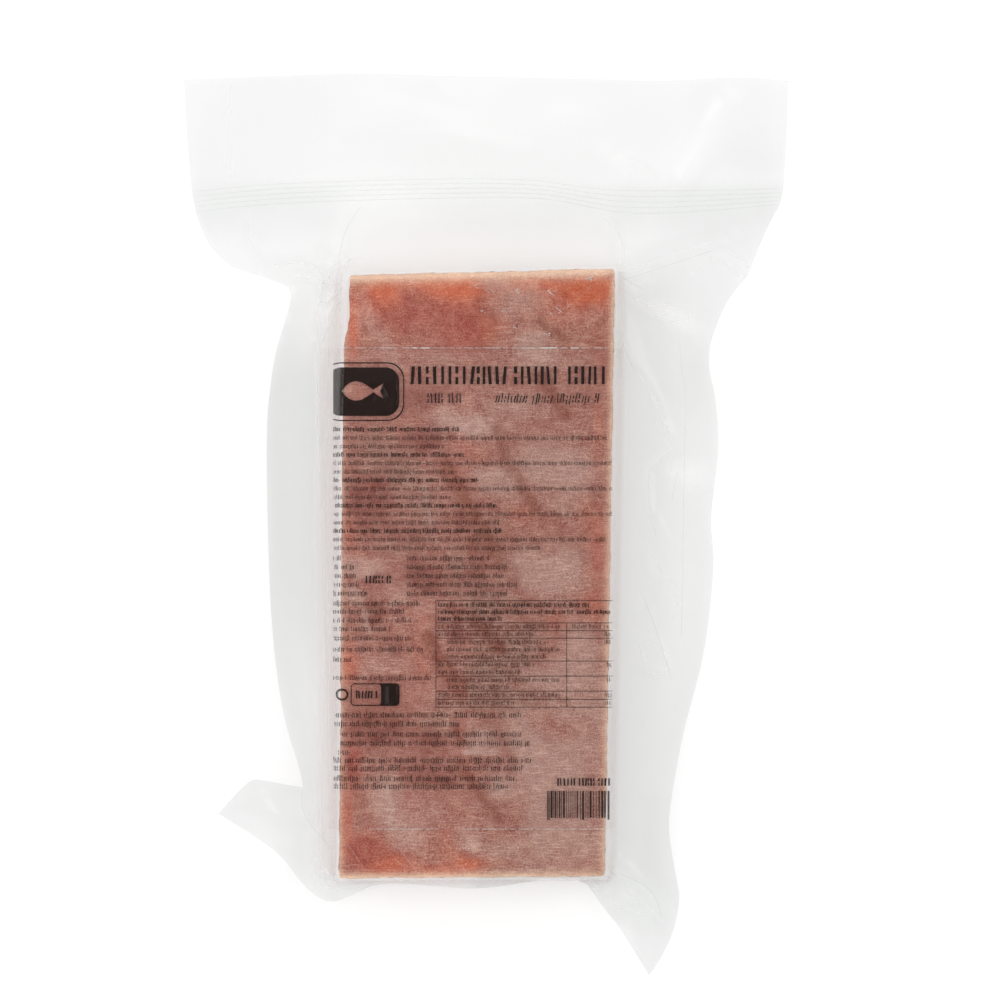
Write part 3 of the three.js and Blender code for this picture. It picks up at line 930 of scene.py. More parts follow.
    def plan(self) -> tuple[Array, Array]:
        """Lay out the pouch's grid as seen from above.

        Returns:
            The points, as rows of columns of x and y, and the height of the seal ridge at each row.
        """
        rows, length = self.rows, self.loin.top_left[1] - self.loin.bottom_left[1]
        downs = [
            even(rows.mouth),
            even(rows.seal),
            even(rows.shoulder),
            self.rounded_stops(length, rows.rounding, rows.loin)[0],
            np.concatenate([even(rows.tent) * 0.2, 0.2 + 0.8 * even(rows.foot), [1.0]]),
        ]
        points, ridges = [], []
        bands = self.outline.bands(self.loin)
        for number, ((left, middle, right), down) in enumerate(zip(bands, downs)):
            down = down[:, None]
            shares = (np.zeros((1, 1)), np.ones((1, 1)))
            edges = [patch.at(share, down)[:, 0] for patch in (left, right) for share in shares]
            widths = [np.hypot(*(after - before).T) for before, after in zip(edges, edges[1:])]
            left_stops = self.skirt_stops(widths[0], self.left_tent_at(edges[1][:, 1]))
            right_stops = 1 - self.skirt_stops(widths[2], self.tent_right)[:, ::-1]
            middle_stops = self.rounded_stops(widths[1], self.columns.rounding, self.columns.loin)
            right_stops = np.hstack([np.zeros((len(down), 1)), right_stops])
            stretches = ((left, left_stops), (middle, middle_stops), (right, right_stops))
            points.append(np.hstack([patch.at(stops, down) for patch, stops in stretches]))
            ridge = self.seal_relief * np.sin(math.pi * self.seal_ridges * down) ** 2
            ridges.append(ridge if number == 1 else np.zeros_like(down))
        return np.vstack(points), np.vstack(ridges)

    def build(self, finish: Material) -> Piece:
        """Make the film envelope.

        Args:
            finish: the film's material.

        Returns:
            The piece.
        """
        plan, ridge = self.plan()
        x, y = plan[..., 0], plan[..., 1]
        front, back = self.front(x, y) + ridge, self.back(x, y) - 0.4 * ridge
        back = np.minimum(back, front - 0.5 * self.sheet_gap)
        back = np.maximum(back, self.clear_of_table)
        front = np.maximum(front, self.clear_of_table + 0.5 * self.sheet_gap)
        vertices = np.concatenate([np.stack([x, y, z], -1).reshape(-1, 3) for z in (front, back)])
        attributes = {key: np.tile(value.ravel(), 2) for key, value in self.marks(x, y).items()}
        return make_piece("film", vertices, sheet_faces(*x.shape), finish, attributes)

    def marks(self, x: Array, y: Array) -> dict[str, Array]:
        """Return what varies over the film.

        Args:
            x, y: points of the plane.

        Returns:
            How grey, how milky and how cool the film looks, with painted shade, painted highlights and a
            painted cool cast among them, and how deeply its welds are ribbed, by attribute name.
        """
        where = self.loin.past(x, y)
        away = np.maximum(where.distance, 0)
        # The film's grey, read off the photo: its own grey, with painted shade and dark reflections that
        # differ from stretch to stretch; beside the loin its shade does the rest, and less grey is
        # painted there.
        right = 0.40 - 0.08 * smoothstep(away, 4, 20)
        left = 0.46 - 0.18 * smoothstep(-y, 15, 55) - 0.27 * smoothstep(y, 40, 64)
        left = left * blend(0.3, 1.0, smoothstep(away, 1, 7))
        side = np.where(where.on_left, left, right)
        foot = np.where(x < 0, 0.31, 0.44)
        side = blend(side, foot, smoothstep(-y, 76, 84) * smoothstep(away, 8, 12))
        dome = np.where(x < 0, 0.20, 0.25) * smoothstep(np.abs(x), 34, 54)
        dome = dome + 0.04 + 0.13 * smoothstep(y, 80, 92)
        dome = dome + 0.12 * smoothstep(y, 78, 92) * smoothstep(x, -30, -5) * (1 - smoothstep(x, 40, 50))
        side = blend(side, dome, smoothstep(y, 66, 78))
        flap = 0.23 + 0.02 * smoothstep(np.abs(x), 50, 85)
        grey = blend(side, flap, smoothstep(y, 96, 103))
        # Painted shade and highlights of single folds and stretches.
        grey = grey + sum(zone.share(x, y) for zone in FILM_PAINTED_SHADE_AND_HIGHLIGHTS)
        # Stretched steeply off the loin, the film is milkier and hides the loin's warm glow; that milk
        # is also painted light, which lifts the shade beside the loin.
        left_milk_and_light = 0.9 * (1 - smoothstep(away, 3, 9))
        right_milk_and_light = 0.5 * (1 - smoothstep(away, 1, 4))
        top_milk_and_light = 0.35 * (1 - smoothstep(away, 4, 20))
        bottom_milk_and_light = 1 - smoothstep(away, 1, 5)
        side_milk_and_light = np.where(where.on_left, left_milk_and_light, right_milk_and_light)
        end_milk_and_light = np.where(where.on_top, top_milk_and_light, bottom_milk_and_light)
        milk = side_milk_and_light * where.nx + end_milk_and_light * where.ny
        # Milky creases, with painted highlights and painted light among them.
        milk = milk + sum(zone.share(x, y) for zone in MILK_AND_PAINTED_LIGHT)
        off_loin = smoothstep(away, 0, 0.5)
        milk = np.clip(milk, 0, 1) * off_loin
        # A painted cool cast, which cancels the warm light that the loin throws onto the film.
        cool = 0.25 * np.exp(-away / 14) * off_loin
        # The side welds end below the shoulders.
        rim, below = self.off_sides(x, y), 1 - smoothstep(y, 62, 70)
        edge = np.where(x < 0, 0.14, 0.03 + 0.06 * smoothstep(-y, 0, 50))
        grey = grey + edge * (1 - smoothstep(rim, 0, 8)) * below * smoothstep(y, -84, -74)
        ribs = smoothstep(rim, 1.0, 2.0) * (1 - smoothstep(rim, 8.5, 10)) * below
        return {"grey": grey, "ribs": ribs, "milk": milk, "cool": cool}

    def off_front(self, x: Array, y: Array, away: Array | float) -> Array:
        """Set points a given way off the front sheet, square to it.

        Args:
            x, y: points of the plane.
            away: how far they stand off, negative for inside.

        Returns:
            The points, with x, y and z in a last dimension.
        """
        step = 0.15
        slope_x = (self.front(x + step, y) - self.front(x - step, y)) / (2 * step)
        slope_y = (self.front(x, y + step) - self.front(x, y - step)) / (2 * step)
        length = np.sqrt(slope_x**2 + slope_y**2 + 1)
        level = self.front(x, y) + away / length
        return np.stack([x - away * slope_x / length, y - away * slope_y / length, level], -1)

    def off_sides(self, x: Array, y: Array) -> Array:
        """Measure how far points lie inside the pouch's free side edges.

        Args:
            x, y: points of the plane.

        Returns:
            The distance from the nearer edge.
        """
        edges = []
        for sides in (self.outline.left, self.outline.right):
            close = Line.bend(sides[3])
            order = np.argsort(close[:, 1])
            edges.append(np.interp(y, close[order, 1], close[order, 0]))
        return np.minimum(x - edges[0], edges[1] - x)


@dataclass(frozen=True)
class Ribbon:
    """A thin bead along a line on the film, narrower towards both its ends."""

    # How far its lower and its upper face stand off the film, each with its share of the width.
    layers: tuple[Point, Point]
    # How blunt its ends are, and how much is left of it there.
    bluntness: int
    least: float

    def lay(self, pouch: Pouch, vertices: list, faces: list, points: Array, half: float) -> None:
        """Lay the ribbon on the front of a pouch.

        Args:
            pouch: the pouch.
            vertices, faces: the mesh's lists, which grow.
            points: one row of x and y for each step along it.
            half: half its width at its middle.
        """
        share = np.linspace(0, 1, len(points))
        along = np.gradient(points, axis=0)
        along = along / np.hypot(along[:, 0], along[:, 1])[:, None]
        across = np.stack([-along[:, 1], along[:, 0]], -1)
        narrow = np.clip(1 - np.abs(2 * share - 1) ** self.bluntness, self.least, 1)
        taper = half * np.sqrt(narrow)[:, None]
        layers = []
        for away, spread in self.layers:
            edges = [points - across * taper * spread, points + across * taper * spread]
            layers.append(np.stack([pouch.off_front(p[:, 0], p[:, 1], away) for p in edges]))
        add_bead(vertices, faces, *layers)


@dataclass
class CrestLines:
    """Thin lines along creases and seal: white film and painted highlight, double film and painted
    shade.
    """

    pouch: Pouch
    step: float = 0.7
    shade_half: float = 0.11
    ribbon: Ribbon = Ribbon(((-0.05, 1.0), (0.05, 0.7)), 8, 0.05)

    def seal_line(self, share: float) -> Line:
        """Draw a line across the pouch along its seal.

        Args:
            share: the share of the way down.

        Returns:
            The line.
        """
        outline = self.pouch.outline
        x = np.linspace(-85.6, 86.6, 160)
        rows = [Line.bend(points) for points in (outline.seal_upper, outline.seal_lower)]
        upper, lower = [np.interp(x, row[:, 0], row[:, 1]) for row in rows]
        return Line(np.linspace(0, 1, len(x)), x, blend(upper, lower, share))

    def build(self, name: str, double_film_shade: bool, finish: Material) -> Piece:
        """Make the lines of one kind as one mesh.

        Args:
            name: the piece's name.
            double_film_shade: whether these are the grey lines of double film and painted shade, not the
                white ones.
            finish: their material.

        Returns:
            The piece.
        """
        lines = []
        for crease in FINE_CREASES.values():
            half = crease.double_film_shade if double_film_shade else crease.whitening_highlight
            if half:
                lines.append((Line.through(crease.path), half))
        ridges = self.pouch.seal_ridges
        if double_film_shade:
            lines += [(self.seal_line(number / ridges), self.shade_half) for number in range(ridges + 1)]
        vertices, faces = [], []
        for line, half in lines:
            length = np.hypot(np.diff(line.x), np.diff(line.y)).sum()
            share = np.linspace(0, 1, max(4, int(length / self.step)))
            self.ribbon.lay(self.pouch, vertices, faces, line.at(share), half)
        return make_piece(name, np.array(vertices), faces, finish)


def sheet_faces(row_count: int, column_count: int) -> Array:
    """Join two equal grids of vertices, one over the other, into a closed sheet.

    Args:
        row_count: rows of vertices in each grid, from far to near.
        column_count: columns of vertices in each grid, from left to right.

    Returns:
        Four vertex numbers for each face; the upper grid's vertices come first.
    """
    upper = np.arange(row_count * column_count).reshape(row_count, column_count)
    lower = upper + upper.size
    tops = [upper[:-1, :-1], upper[1:, :-1], upper[1:, 1:], upper[:-1, 1:]]
    bottoms = [lower[:-1, :-1], lower[:-1, 1:], lower[1:, 1:], lower[1:, :-1]]
    far = [upper[0, :-1], upper[0, 1:], lower[0, 1:], lower[0, :-1]]
    near = [upper[-1, 1:], upper[-1, :-1], lower[-1, :-1], lower[-1, 1:]]
    left = [upper[1:, 0], upper[:-1, 0], lower[:-1, 0], lower[1:, 0]]
    right = [upper[:-1, -1], upper[1:, -1], lower[1:, -1], lower[:-1, -1]]
    sides = (tops, bottoms, far, near, left, right)
    return np.vstack([np.stack([corner.ravel() for corner in side], -1) for side in sides])


class Tissue(Enum):
    """What a stretch of the loin's surface shows; each is an attribute of its mesh."""

    DEEP = "deep"
    AMBER = "amber"
    ASH = "ash"
    VEIL = "veil"
    DARK = "dark"
    BAND = "band"
    FROST = "frost"
    RIM = "rim"


# The soft ovals in which each tissue shows on the loin's upper face.
ZONES = {
    # Clear red flesh under little frost.
    Tissue.DEEP: zones(
        (-26.5, 63, 6, 8, 0.60), (-12, 60, 5, 7, 0.45, 10), (-4.5, 58, 6.5, 8, 0.90),
        (-18, 62, 12, 6, 0.45), (34, 49, 2.5, 9, 0.50), (29, 66, 7, 4, 0.35), (24, 61, 12, 8, 0.34),
        (-22, 57, 12, 10, 0.22), (8, 58, 10, 8, 0.20), (-33, 63, 5, 8, 0.40),
        (-32, -98, 10, 5, 1.0, -10), (-36, -93, 6, 5, 0.60), (-38.5, -69, 3.4, 10, 0.85),
        (-14, 66, 14, 5, 0.30),
    ),
    # Dark, blood-rich flesh.
    Tissue.DARK: zones(
        (-32, 9, 4.2, 6.5, 0.90), (-38.5, 8, 2.4, 9, 0.62), (-20, 25, 4, 4, 0.60),
        (-14.5, 25, 3.2, 4.0, 0.90), (33, 9, 2.6, 4.5, 0.48), (-14, 38, 7, 3, 0.32, -10),
        (-32, -15.8, 6, 1.6, 0.60), (-33, -25, 3.2, 4.8, 0.82), (-17, -16.5, 7, 3.8, 0.84),
        (-6, 3, 6, 4.5, 0.64, -60), (-1, -5, 4, 4, 0.72), (-27.5, -37, 3, 3, 0.66),
        (-8, -32.5, 2.6, 2.6, 0.75), (-32, -60, 9, 5, 0.80), (-20, 36, 6, 4.5, 0.55),
        (-16, -63, 3.4, 3.2, 0.85), (-17, -72, 9, 7, 0.46), (-12, -75.5, 5, 2.2, 0.62),
        (-22, -12, 7, 3, 0.32), (-22, -3, 9, 5, 0.36), (-3, -15, 4.5, 7, 0.44, 15),
        (-33, -50, 8, 6, 0.44), (-36, 0, 4, 6, 0.32),
    ),
    # Orange flesh that air has turned, mostly along the sawn edges.
    Tissue.AMBER: zones(
        (-30, 69, 6, 4.5, 0.80), (-8, 69.5, 9, 4.5, 1.0), (31, 69, 8, 5, 1.0), (-18, 71, 9, 3, 0.60),
        (14, 70, 11, 3.6, 0.80), (-39, 56, 2.4, 9, 0.55), (1, 57, 6, 6, 0.30),
        (-39.5, -2, 3, 7, 0.45), (-40, -41, 3, 8, 0.60), (33, -9, 4, 12, 0.36), (31, -25, 6, 5, 0.40),
        (-28, -101, 8, 3.5, 0.50), (-4, -99.5, 5.5, 3.6, 0.60), (-11, -93, 3, 6, 0.22),
        (-19, -36, 4, 14, 0.25), (30, 4, 5, 9, 0.20), (12, 2, 5, 4, 0.28), (-5, 22, 7, 5, 0.22),
        (-41, -86, 2.4, 11, 0.50), (9, -100, 8, 3, 0.15), (33, 25, 3, 18, 0.28),
        (20, -29, 6, 4, 0.25), (-13, -102, 8, 2, 0.50), (22, 63, 14, 7, 0.38), (-37, 64, 4, 8, 0.45),
    ),
    # Flesh greyed by frost burn.
    Tissue.ASH: zones(
        (-14, 49, 11, 3.4, 0.50), (-33, 23, 7, 7, 0.80), (-24, 16, 7, 6, 0.80, -20),
        (-19, 6, 7, 7, 0.60), (1, -44, 9, 8, 0.85), (10, -38, 7, 6, 0.75), (-3, -22, 5, 6, 0.60),
        (7, -23, 9, 5, 0.50), (-8, -12, 4, 6, 0.80), (-24, -7, 10, 4.5, 0.60),
        (-14, -57, 5.5, 5.5, 0.70), (14, -32, 4, 4, 0.60), (11, -51, 8, 4.5, 0.60),
        (-12, 32, 8, 5, 0.30), (-29, -67, 5, 5, 0.40), (4, 2, 4, 4, 0.40), (0, -53, 8, 3, 0.50),
    ),
    # A pale veil of fine frost.
    Tissue.VEIL: zones(
        (2, 70.5, 5, 2, 0.90), (10.5, 68, 8, 3.4, 0.90), (10, 63, 10, 4, 0.50),
        (15, 51.5, 6, 6.5, 0.85), (14, 47, 9, 4, 0.15), (28, 60, 8, 6, 0.35), (24, 48, 9, 3.5, 0.28),
        (-6, 29, 10, 3.6, 0.80), (-12, 31, 4, 3, 0.30), (20, 18, 13, 7, 0.95, -8),
        (28, 12, 6, 6, 0.45), (3, 12, 6.5, 4.4, 0.95, -25), (22, 5, 7, 5, 0.45, -20),
        (10, 34, 9, 3.5, 0.55), (15, -14, 9.5, 6.5, 1.0, -25), (24, -12, 7, 6, 0.70, -20),
        (28, -38, 6, 12, 0.85, 10), (20, -45, 9, 5, 0.80), (-37, -12.5, 7, 2.8, 0.95),
        (-38.5, -20.5, 3, 3, 0.90), (-31, -41, 9, 6, 0.35), (-1, -63.5, 6.4, 5.0, 0.75),
        (14, -66, 5.5, 13, 1.0, 25), (22, -77, 10, 9, 1.0), (17, -72, 6, 8, 0.6),
        (-28.5, -80, 5, 8.5, 0.85), (-24, -92, 6, 5, 0.65), (26, -54, 9, 4.5, 0.60),
        (4, -76, 6, 4.5, 0.70), (-16, -85, 6, 6, 0.40), (-4, -92, 5, 5, 0.65, -30),
        (6, -95, 6, 4, 0.55), (25, -93, 13, 9, 0.70), (10, -102, 24, 2.2, 0.50),
        (20, 73.4, 12, 1.5, 0.70), (15, -90, 3.5, 8, 0.90), (27, -65, 7, 6, 0.50),
        (-17, 1, 2.5, 9, 0.45, 10), (-26, -20, 6, 5, 0.40), (-36, 62, 3, 7, 0.50, 10),
        (33, -55, 4, 12, 0.40),
    ),
}
# Longer, narrower marks: bands of connective tissue between the muscle blocks, and lines of frost.
STREAKS = {
    Tissue.BAND: (
        Crease(((14, 61), (20, 56.5), (25, 52)), 0.80, 1.8, ROUND),
        Crease(((15, 45), (19.5, 37), (25, 29)), 0.9, 2.0, ROUND),
        Crease(((1.5, 31), (4, 25), (7, 17), (11, 11), (14, 6), (17, 2)), 0.95, 1.9, ROUND, 0.08),
        Crease(((16, 4), (22, -3), (31, -12)), 0.35, 2.6, ROUND),
        Crease(((-14, 21), (-9, 13), (-5, 5), (0, -3), (5, -11), (10, -19)), 1.0, 2.5, ROUND, 0.12),
        Crease(((10, -18), (15, -26), (21, -34)), 0.25, 1.9, ROUND),
        Crease(((-19.5, -29), (-14, -39), (-9, -46), (-4, -53)), 1.0, 2.4, ROUND),
        Crease(((-5, -25), (1, -32), (6.5, -40)), 0.85, 2.1, ROUND),
        Crease(((-10.5, -68), (-5, -75), (0, -81), (6, -89)), 0.66, 2.0, ROUND),
        Crease(((0, -55), (5, -63), (10, -71)), 0.62, 1.8, ROUND),
        Crease(((-9.5, -58), (-7.5, -66)), 0.7, 1.8, ROUND),
        Crease(((-11, -22), (-8, -30)), 0.6, 1.9, ROUND),
        Crease(((-6.5, -44), (-5, -52)), 0.7, 1.7, ROUND),
        Crease(((8, -44), (13, -54)), 0.4, 1.8, ROUND),
    ),
    Tissue.VEIL: (Crease(((-37.5, 70), (-34, 61), (-30, 52), (-25, 43)), 0.48, 3.2, ROUND, 0.08),),
    Tissue.FROST: (
        Crease(((-10, 27.6), (1, 27.6)), 0.40, 1.1, ROUND),
        Crease(((-7, 31.2), (2, 31.2)), 0.25, 1.0, ROUND),
        Crease(((-37.5, -22), (-35, -28), (-33.5, -33)), 0.42, 1.3, ROUND),
        Crease(((-8, -67), (5, -67)), 0.40, 1.1, ROUND),
        Crease(((-28.5, -75), (-27.5, -83), (-28.5, -91)), 0.4, 1.6, ROUND),
        Crease(((-18, 12), (-16.5, 2)), 0.4, 1.0, ROUND),
    ),
}


@dataclass
class Loin:
    """The frozen loin inside the film: a band-sawn block with rounded edges."""

    shape: LoinShape
    # Room between the flesh and the outside of the film.
    clearance: float = 0.22
    # The saw's marks: how far apart and how deep they are, and the highest that any mark stands.
    saw_pitch: float = 2.1
    saw_depth: float = 0.03
    mark_limit: float = 0.08
    # Pitch, height and seed of the noises that shape the flesh: its marks, its chipped edge, and
    # how far the tissues bend in x and in y.
    saw_wander: Octaves = ((17, 0.8, 31),)
    grain: Octaves = ((1.6, 0.03, 32), (4.0, 0.04, 33))
    chips: Octaves = ((1.9, 0.16, 34), (5.5, 0.14, 35))
    warp_x: Octaves = ((13, 1.2, 41), (4.5, 0.9, 42))
    warp_y: Octaves = ((13, 1.2, 43), (4.5, 0.9, 44))
    cells_across: int = 104
    cells_along: int = 220
    cells_up: int = 16
    rounding_cells: int = 4

    def stops(self, length: float, count: int) -> Array:
        """Space points along a side, close together in the rounded edges.

        Args:
            length: the length of the side.
            count: how many cells it gets.

        Returns:
            The shares, from 0 to 1.
        """
        inner = self.shape.edge_radius / length
        curve = inner * (1 - np.cos(even(self.rounding_cells) * math.pi / 2))
        between = np.linspace(inner, 1 - inner, count - 2 * self.rounding_cells + 1)
        return np.concatenate([curve, between, 1 - curve[::-1]])

    def plan(self) -> tuple[Array, Array]:
        """Lay out the upper face's grid, pulled in to the rounded corners.

        Returns:
            The x and the y of its points, in rows and columns.
        """
        shape = self.shape
        s = self.stops(shape.top_right[0] - shape.top_left[0], self.cells_across)[None, :]
        t = self.stops(shape.top_left[1] - shape.bottom_left[1], self.cells_along)[:, None]
        corners = (shape.top_left, shape.top_right, shape.bottom_left, shape.bottom_right)
        weights = [(1 - s) * (1 - t), s * (1 - t), (1 - s) * t, s * t]
        x, y = [sum(w * corner[axis] for w, corner in zip(weights, corners)) for axis in (0, 1)]
        for _ in range(3):
            where = shape.past(x, y)
            x, y = self.draw_in(x, y, where, np.maximum(where.distance + self.clearance, 0))
        # The frozen edge is chipped, and it was cut in a little at the head of the left side.
        where = shape.past(x, y)
        rim = bell(where.distance + self.clearance, 3.0)
        chips = sum(deep * (1 + ValueNoise(pitch, seed).at(x, y)) for pitch, deep, seed in self.chips)
        cut_in = 1.5 * smoothstep(y, 50, 61) * where.on_left * bell(x - shape.left_at(y), 9.0)
        x, y = self.draw_in(x, y, where, rim * chips)
        return x + cut_in, y

    @staticmethod
    def draw_in(x: Array, y: Array, where: Past, way: Array) -> tuple[Array, Array]:
        """Move points in towards the block's middle, square to its sides.

        Args:
            x, y: the points.
            where: how they lie against the block.
            way: how far each moves.

        Returns:
            Their new x and y.
        """
        x = x - way * where.nx * np.where(where.on_left, -1, 1)
        return x, y - way * where.ny * np.where(where.on_top, 1, -1)

    def relief(self, x: Array, y: Array) -> Array:
        """Give the saw marks and the shallow furrows of the upper face.

        Args:
            x, y: points of the plane.

        Returns:
            How far the marks stand up at each.
        """
        turn = 2 * math.pi * (y + layered(x, y, self.saw_wander)) / self.saw_pitch
        saw = self.saw_depth * np.sin(turn)
        furrows = sum(self.saw_depth * band.lift(x, y) for band in STREAKS[Tissue.BAND])
        return np.minimum(saw + layered(x, y, self.grain) - furrows, self.mark_limit)

    def tissues(self, x: Array, y: Array, z: Array) -> dict[str, Array]:
        """Find how much of each tissue shows.

        Args:
            x, y, z: the vertices.

        Returns:
            One number for each vertex, by attribute name.
        """
        where, off_ends = self.shape.past(x, y), self.shape.off_ends(x, y)
        # The rim keeps its place, so the bends of the zones fade out towards it.
        bent = smoothstep(-where.distance, 1.0, 8.0)
        wx = x + bent * layered(x, y, self.warp_x)
        wy = y + bent * layered(x, y, self.warp_y)
        shares = {}
        for tissue in Tissue:
            bare = np.ones_like(x)
            for zone in ZONES.get(tissue, ()):
                bare = bare * (1 - zone.share(wx, wy))
            # The streaks bend a little less than the zones do.
            near_x, near_y = blend(x, wx, 0.6), blend(y, wy, 0.6)
            streaks = [streak.lift(near_x, near_y) for streak in STREAKS.get(tissue, ())]
            shares[tissue.value] = np.maximum.reduce([1 - bare, *streaks])
        inside = np.maximum(-where.distance - self.clearance, 0)
        depth = inside + 0.6 * np.maximum(self.shape.height - 0.8 - z, 0)
        # The two ends froze drier than the long sides, so their pale rim is wider.
        end_depth = depth + np.maximum(off_ends - inside, 0)
        side = np.where(where.on_left & (off_ends > 3), 0.35, 0.65)
        end = bell(end_depth, np.where(where.on_top, 2.7, 1.7))
        shares["rim"] = np.maximum(side * bell(depth, 1.6), end)
        # Hoarfrost covers the sides, which the film only touches at their edges.
        hoar = 0.55 * smoothstep(self.shape.height - 1.5 - z, 0, 1.5)
        shares["veil"] = np.maximum(shares["veil"], hoar)
        return shares

    def build(self, finish: Material) -> Piece:
        """Make the loin as one closed block.

        Args:
            finish: the flesh's material.

        Returns:
            The piece.
        """
        x, y = self.plan()
        inside = np.maximum(-self.shape.past(x, y).distance - self.clearance, 0)
        rounding = self.shape.rounding(inside)
        top = self.shape.height + self.shape.sawn(x, y) - rounding - self.clearance
        top = top + self.relief(x, y) * smoothstep(inside, 0, 1.5)
        bottom = rounding + self.clearance
        rows, columns = x.shape
        ring = self.ring(rows, columns)
        rim_x, rim_y = x.ravel()[ring], y.ravel()[ring]
        rise = even(self.cells_up)[1:, None]
        side_z = blend(bottom.ravel()[ring], top.ravel()[ring], rise)
        where = self.shape.past(rim_x, rim_y)
        hollow = 0.12 * (1 + ValueNoise(5, 51).at(rim_x + 1.3 * rim_y, 1.7 * side_z))
        side_x, side_y = self.draw_in(rim_x, rim_y, where, hollow)
        blocks = ((x, y, top), (x, y, bottom), (side_x, side_y, side_z))
        vertices = np.vstack([np.stack([axis.ravel() for axis in block], -1) for block in blocks])
        faces = self.faces(rows, columns, ring)
        tissues = self.tissues(vertices[:, 0], vertices[:, 1], vertices[:, 2])
        return make_piece("loin", vertices, faces, finish, tissues)

    @staticmethod
    def ring(rows: int, columns: int) -> Array:
        """Return the grid's border vertices, anticlockwise from above."""
        grid = np.arange(rows * columns).reshape(rows, columns)
        return np.concatenate([grid[:-1, 0], grid[-1, :-1], grid[:0:-1, -1], grid[0, :0:-1]])

    def faces(self, rows: int, columns: int, ring: Array) -> Array:
        """Join the upper and lower grid and the sides between them.

        Args:
            rows, columns: the grid's numbers of vertices.
            ring: the vertices of its border.

        Returns:
            Four vertex numbers for each face.
        """
        count = rows * columns
        sheet = sheet_faces(rows, columns)[: 2 * (rows - 1) * (columns - 1)]
        levels = [ring + count]
        for level in range(self.cells_up - 1):
            levels.append(2 * count + level * len(ring) + np.arange(len(ring)))
        levels.append(ring)
        sides = [
            np.stack([low, np.roll(low, -1), np.roll(high, -1), high], -1)
            for low, high in zip(levels, levels[1:])
        ]
        return np.vstack([sheet, *sides])


def turned(
    x: float, y: float, u: Array | float, v: Array | float, angle: float
) -> tuple[Array | float, Array | float]:
    """Set points off from a middle, along directions turned by an angle.

    Args:
        x, y: the middle.
        u, v: how far they lie along and across the turned direction.
        angle: how far it is turned, in radians.

    Returns:
        Their x and y.
    """
    cosine, sine = math.cos(angle), math.sin(angle)
    return x + u * cosine - v * sine, y + u * sine + v * cosine


@dataclass
class IceFlakes:
    """Specks of ice between loin and film: thin, uneven crumbs, in clusters where they catch the eye."""

    pouch: Pouch
    clusters: Path = (
        (-2.9, 69.8), (1.2, 68.4), (8.5, 68.1), (9.7, 68.4), (12.4, 71.6), (29.2, 72.5), (31.5, 71.6),
        (19.7, 68.1), (22.1, 63.4), (20.6, 61.9), (-0.9, 62.5), (5.6, 62.5), (18.6, 56), (8, 57.8),
    )
    # Hairlines of ice: the middle, half the length, half the width and the turn in degrees.
    hairlines: tuple[tuple[float, float, float, float, float], ...] = (
        (-38, -97.5, 5.2, 0.03, -57), (-23.5, -97.5, 5.4, 0.03, -52), (-25.4, -99.2, 2.0, 0.03, -40),
        (19, 67.6, 1.6, 0.10, -35), (21.4, 62.8, 1.5, 0.09, -40), (30.4, 72.2, 1.7, 0.12, 20),
    )
    cluster_size: int = 5
    scattered: int = 420
    # How thick a flake is, and how far its foot lies under the film's upper side.
    thickness: float = 0.06
    depth: float = 0.2
    seed: int = 71

    def build(self, finish: Material) -> Piece:
        """Make all the flakes as one mesh.

        Args:
            finish: the material of ice.

        Returns:
            The piece.
        """
        draw = np.random.default_rng(self.seed)
        spots = []
        for x, y in self.clusters:
            for _ in range(self.cluster_size):
                away_x, away_y = draw.normal(0, 0.9), draw.normal(0, 0.35)
                spots.append((x + away_x, y + away_y, draw.uniform(0.10, 0.30)))
        while len(spots) < self.scattered:
            x, y = draw.uniform(-42, 37), draw.uniform(-103, 74)
            if self.pouch.loin.past(np.array(x), np.array(y)).distance < -1.2:
                spots.append((x, y, draw.uniform(0.07, 0.16)))
        vertices, faces = [], []
        for x, y, size in spots:
            self.add_flake(vertices, faces, draw, x, y, size)
        for x, y, half_length, half_width, turn in self.hairlines:
            share = np.linspace(-1, 1, 9)
            spread = half_width * np.sqrt(1 - 0.95 * share**2)
            edges = [
                turned(x, y, half_length * share, side * spread, math.radians(turn)) for side in (-1, 1)
            ]
            layers = [np.stack([(*edge, np.full(9, z)) for edge in edges]) for z in (0, self.thickness)]
            add_bead(vertices, faces, *[layer.transpose(0, 2, 1) for layer in layers])
        points = np.array(vertices)
        surface = self.pouch.front(points[:, 0], points[:, 1])
        points[:, 2] += surface - self.depth
        return make_piece("ice_flakes", points, faces, finish)

    def add_flake(
        self, vertices: list, faces: list, draw: Chance, x: float, y: float, size: float
    ) -> None:
        """Add one flake: an uneven seven-sided crumb that rises to its middle.

        Args:
            vertices, faces: the mesh's lists, which grow.
            draw: the source of chance.
            x, y: its middle.
            size: about half its width.
        """
        sides, first = 7, len(vertices)
        stretch, turn = draw.uniform(1.0, 2.4), draw.uniform(0, math.pi)
        for level in (0.0, self.thickness):
            for side in range(sides):
                angle = 2 * math.pi * side / sides
                radius = size * draw.uniform(0.6, 1.1) * (1 - 4 * level)
                u, v = radius * stretch * math.cos(angle), radius * math.sin(angle) / stretch
                vertices.append((*turned(x, y, u, v, turn), level))
        for side in range(sides):
            after = (side + 1) % sides
            faces.append([first + side, first + after, first + sides + after, first + sides + side])
        faces.append([first + side for side in reversed(range(sides))])
        faces.append([first + sides + side for side in range(sides)])


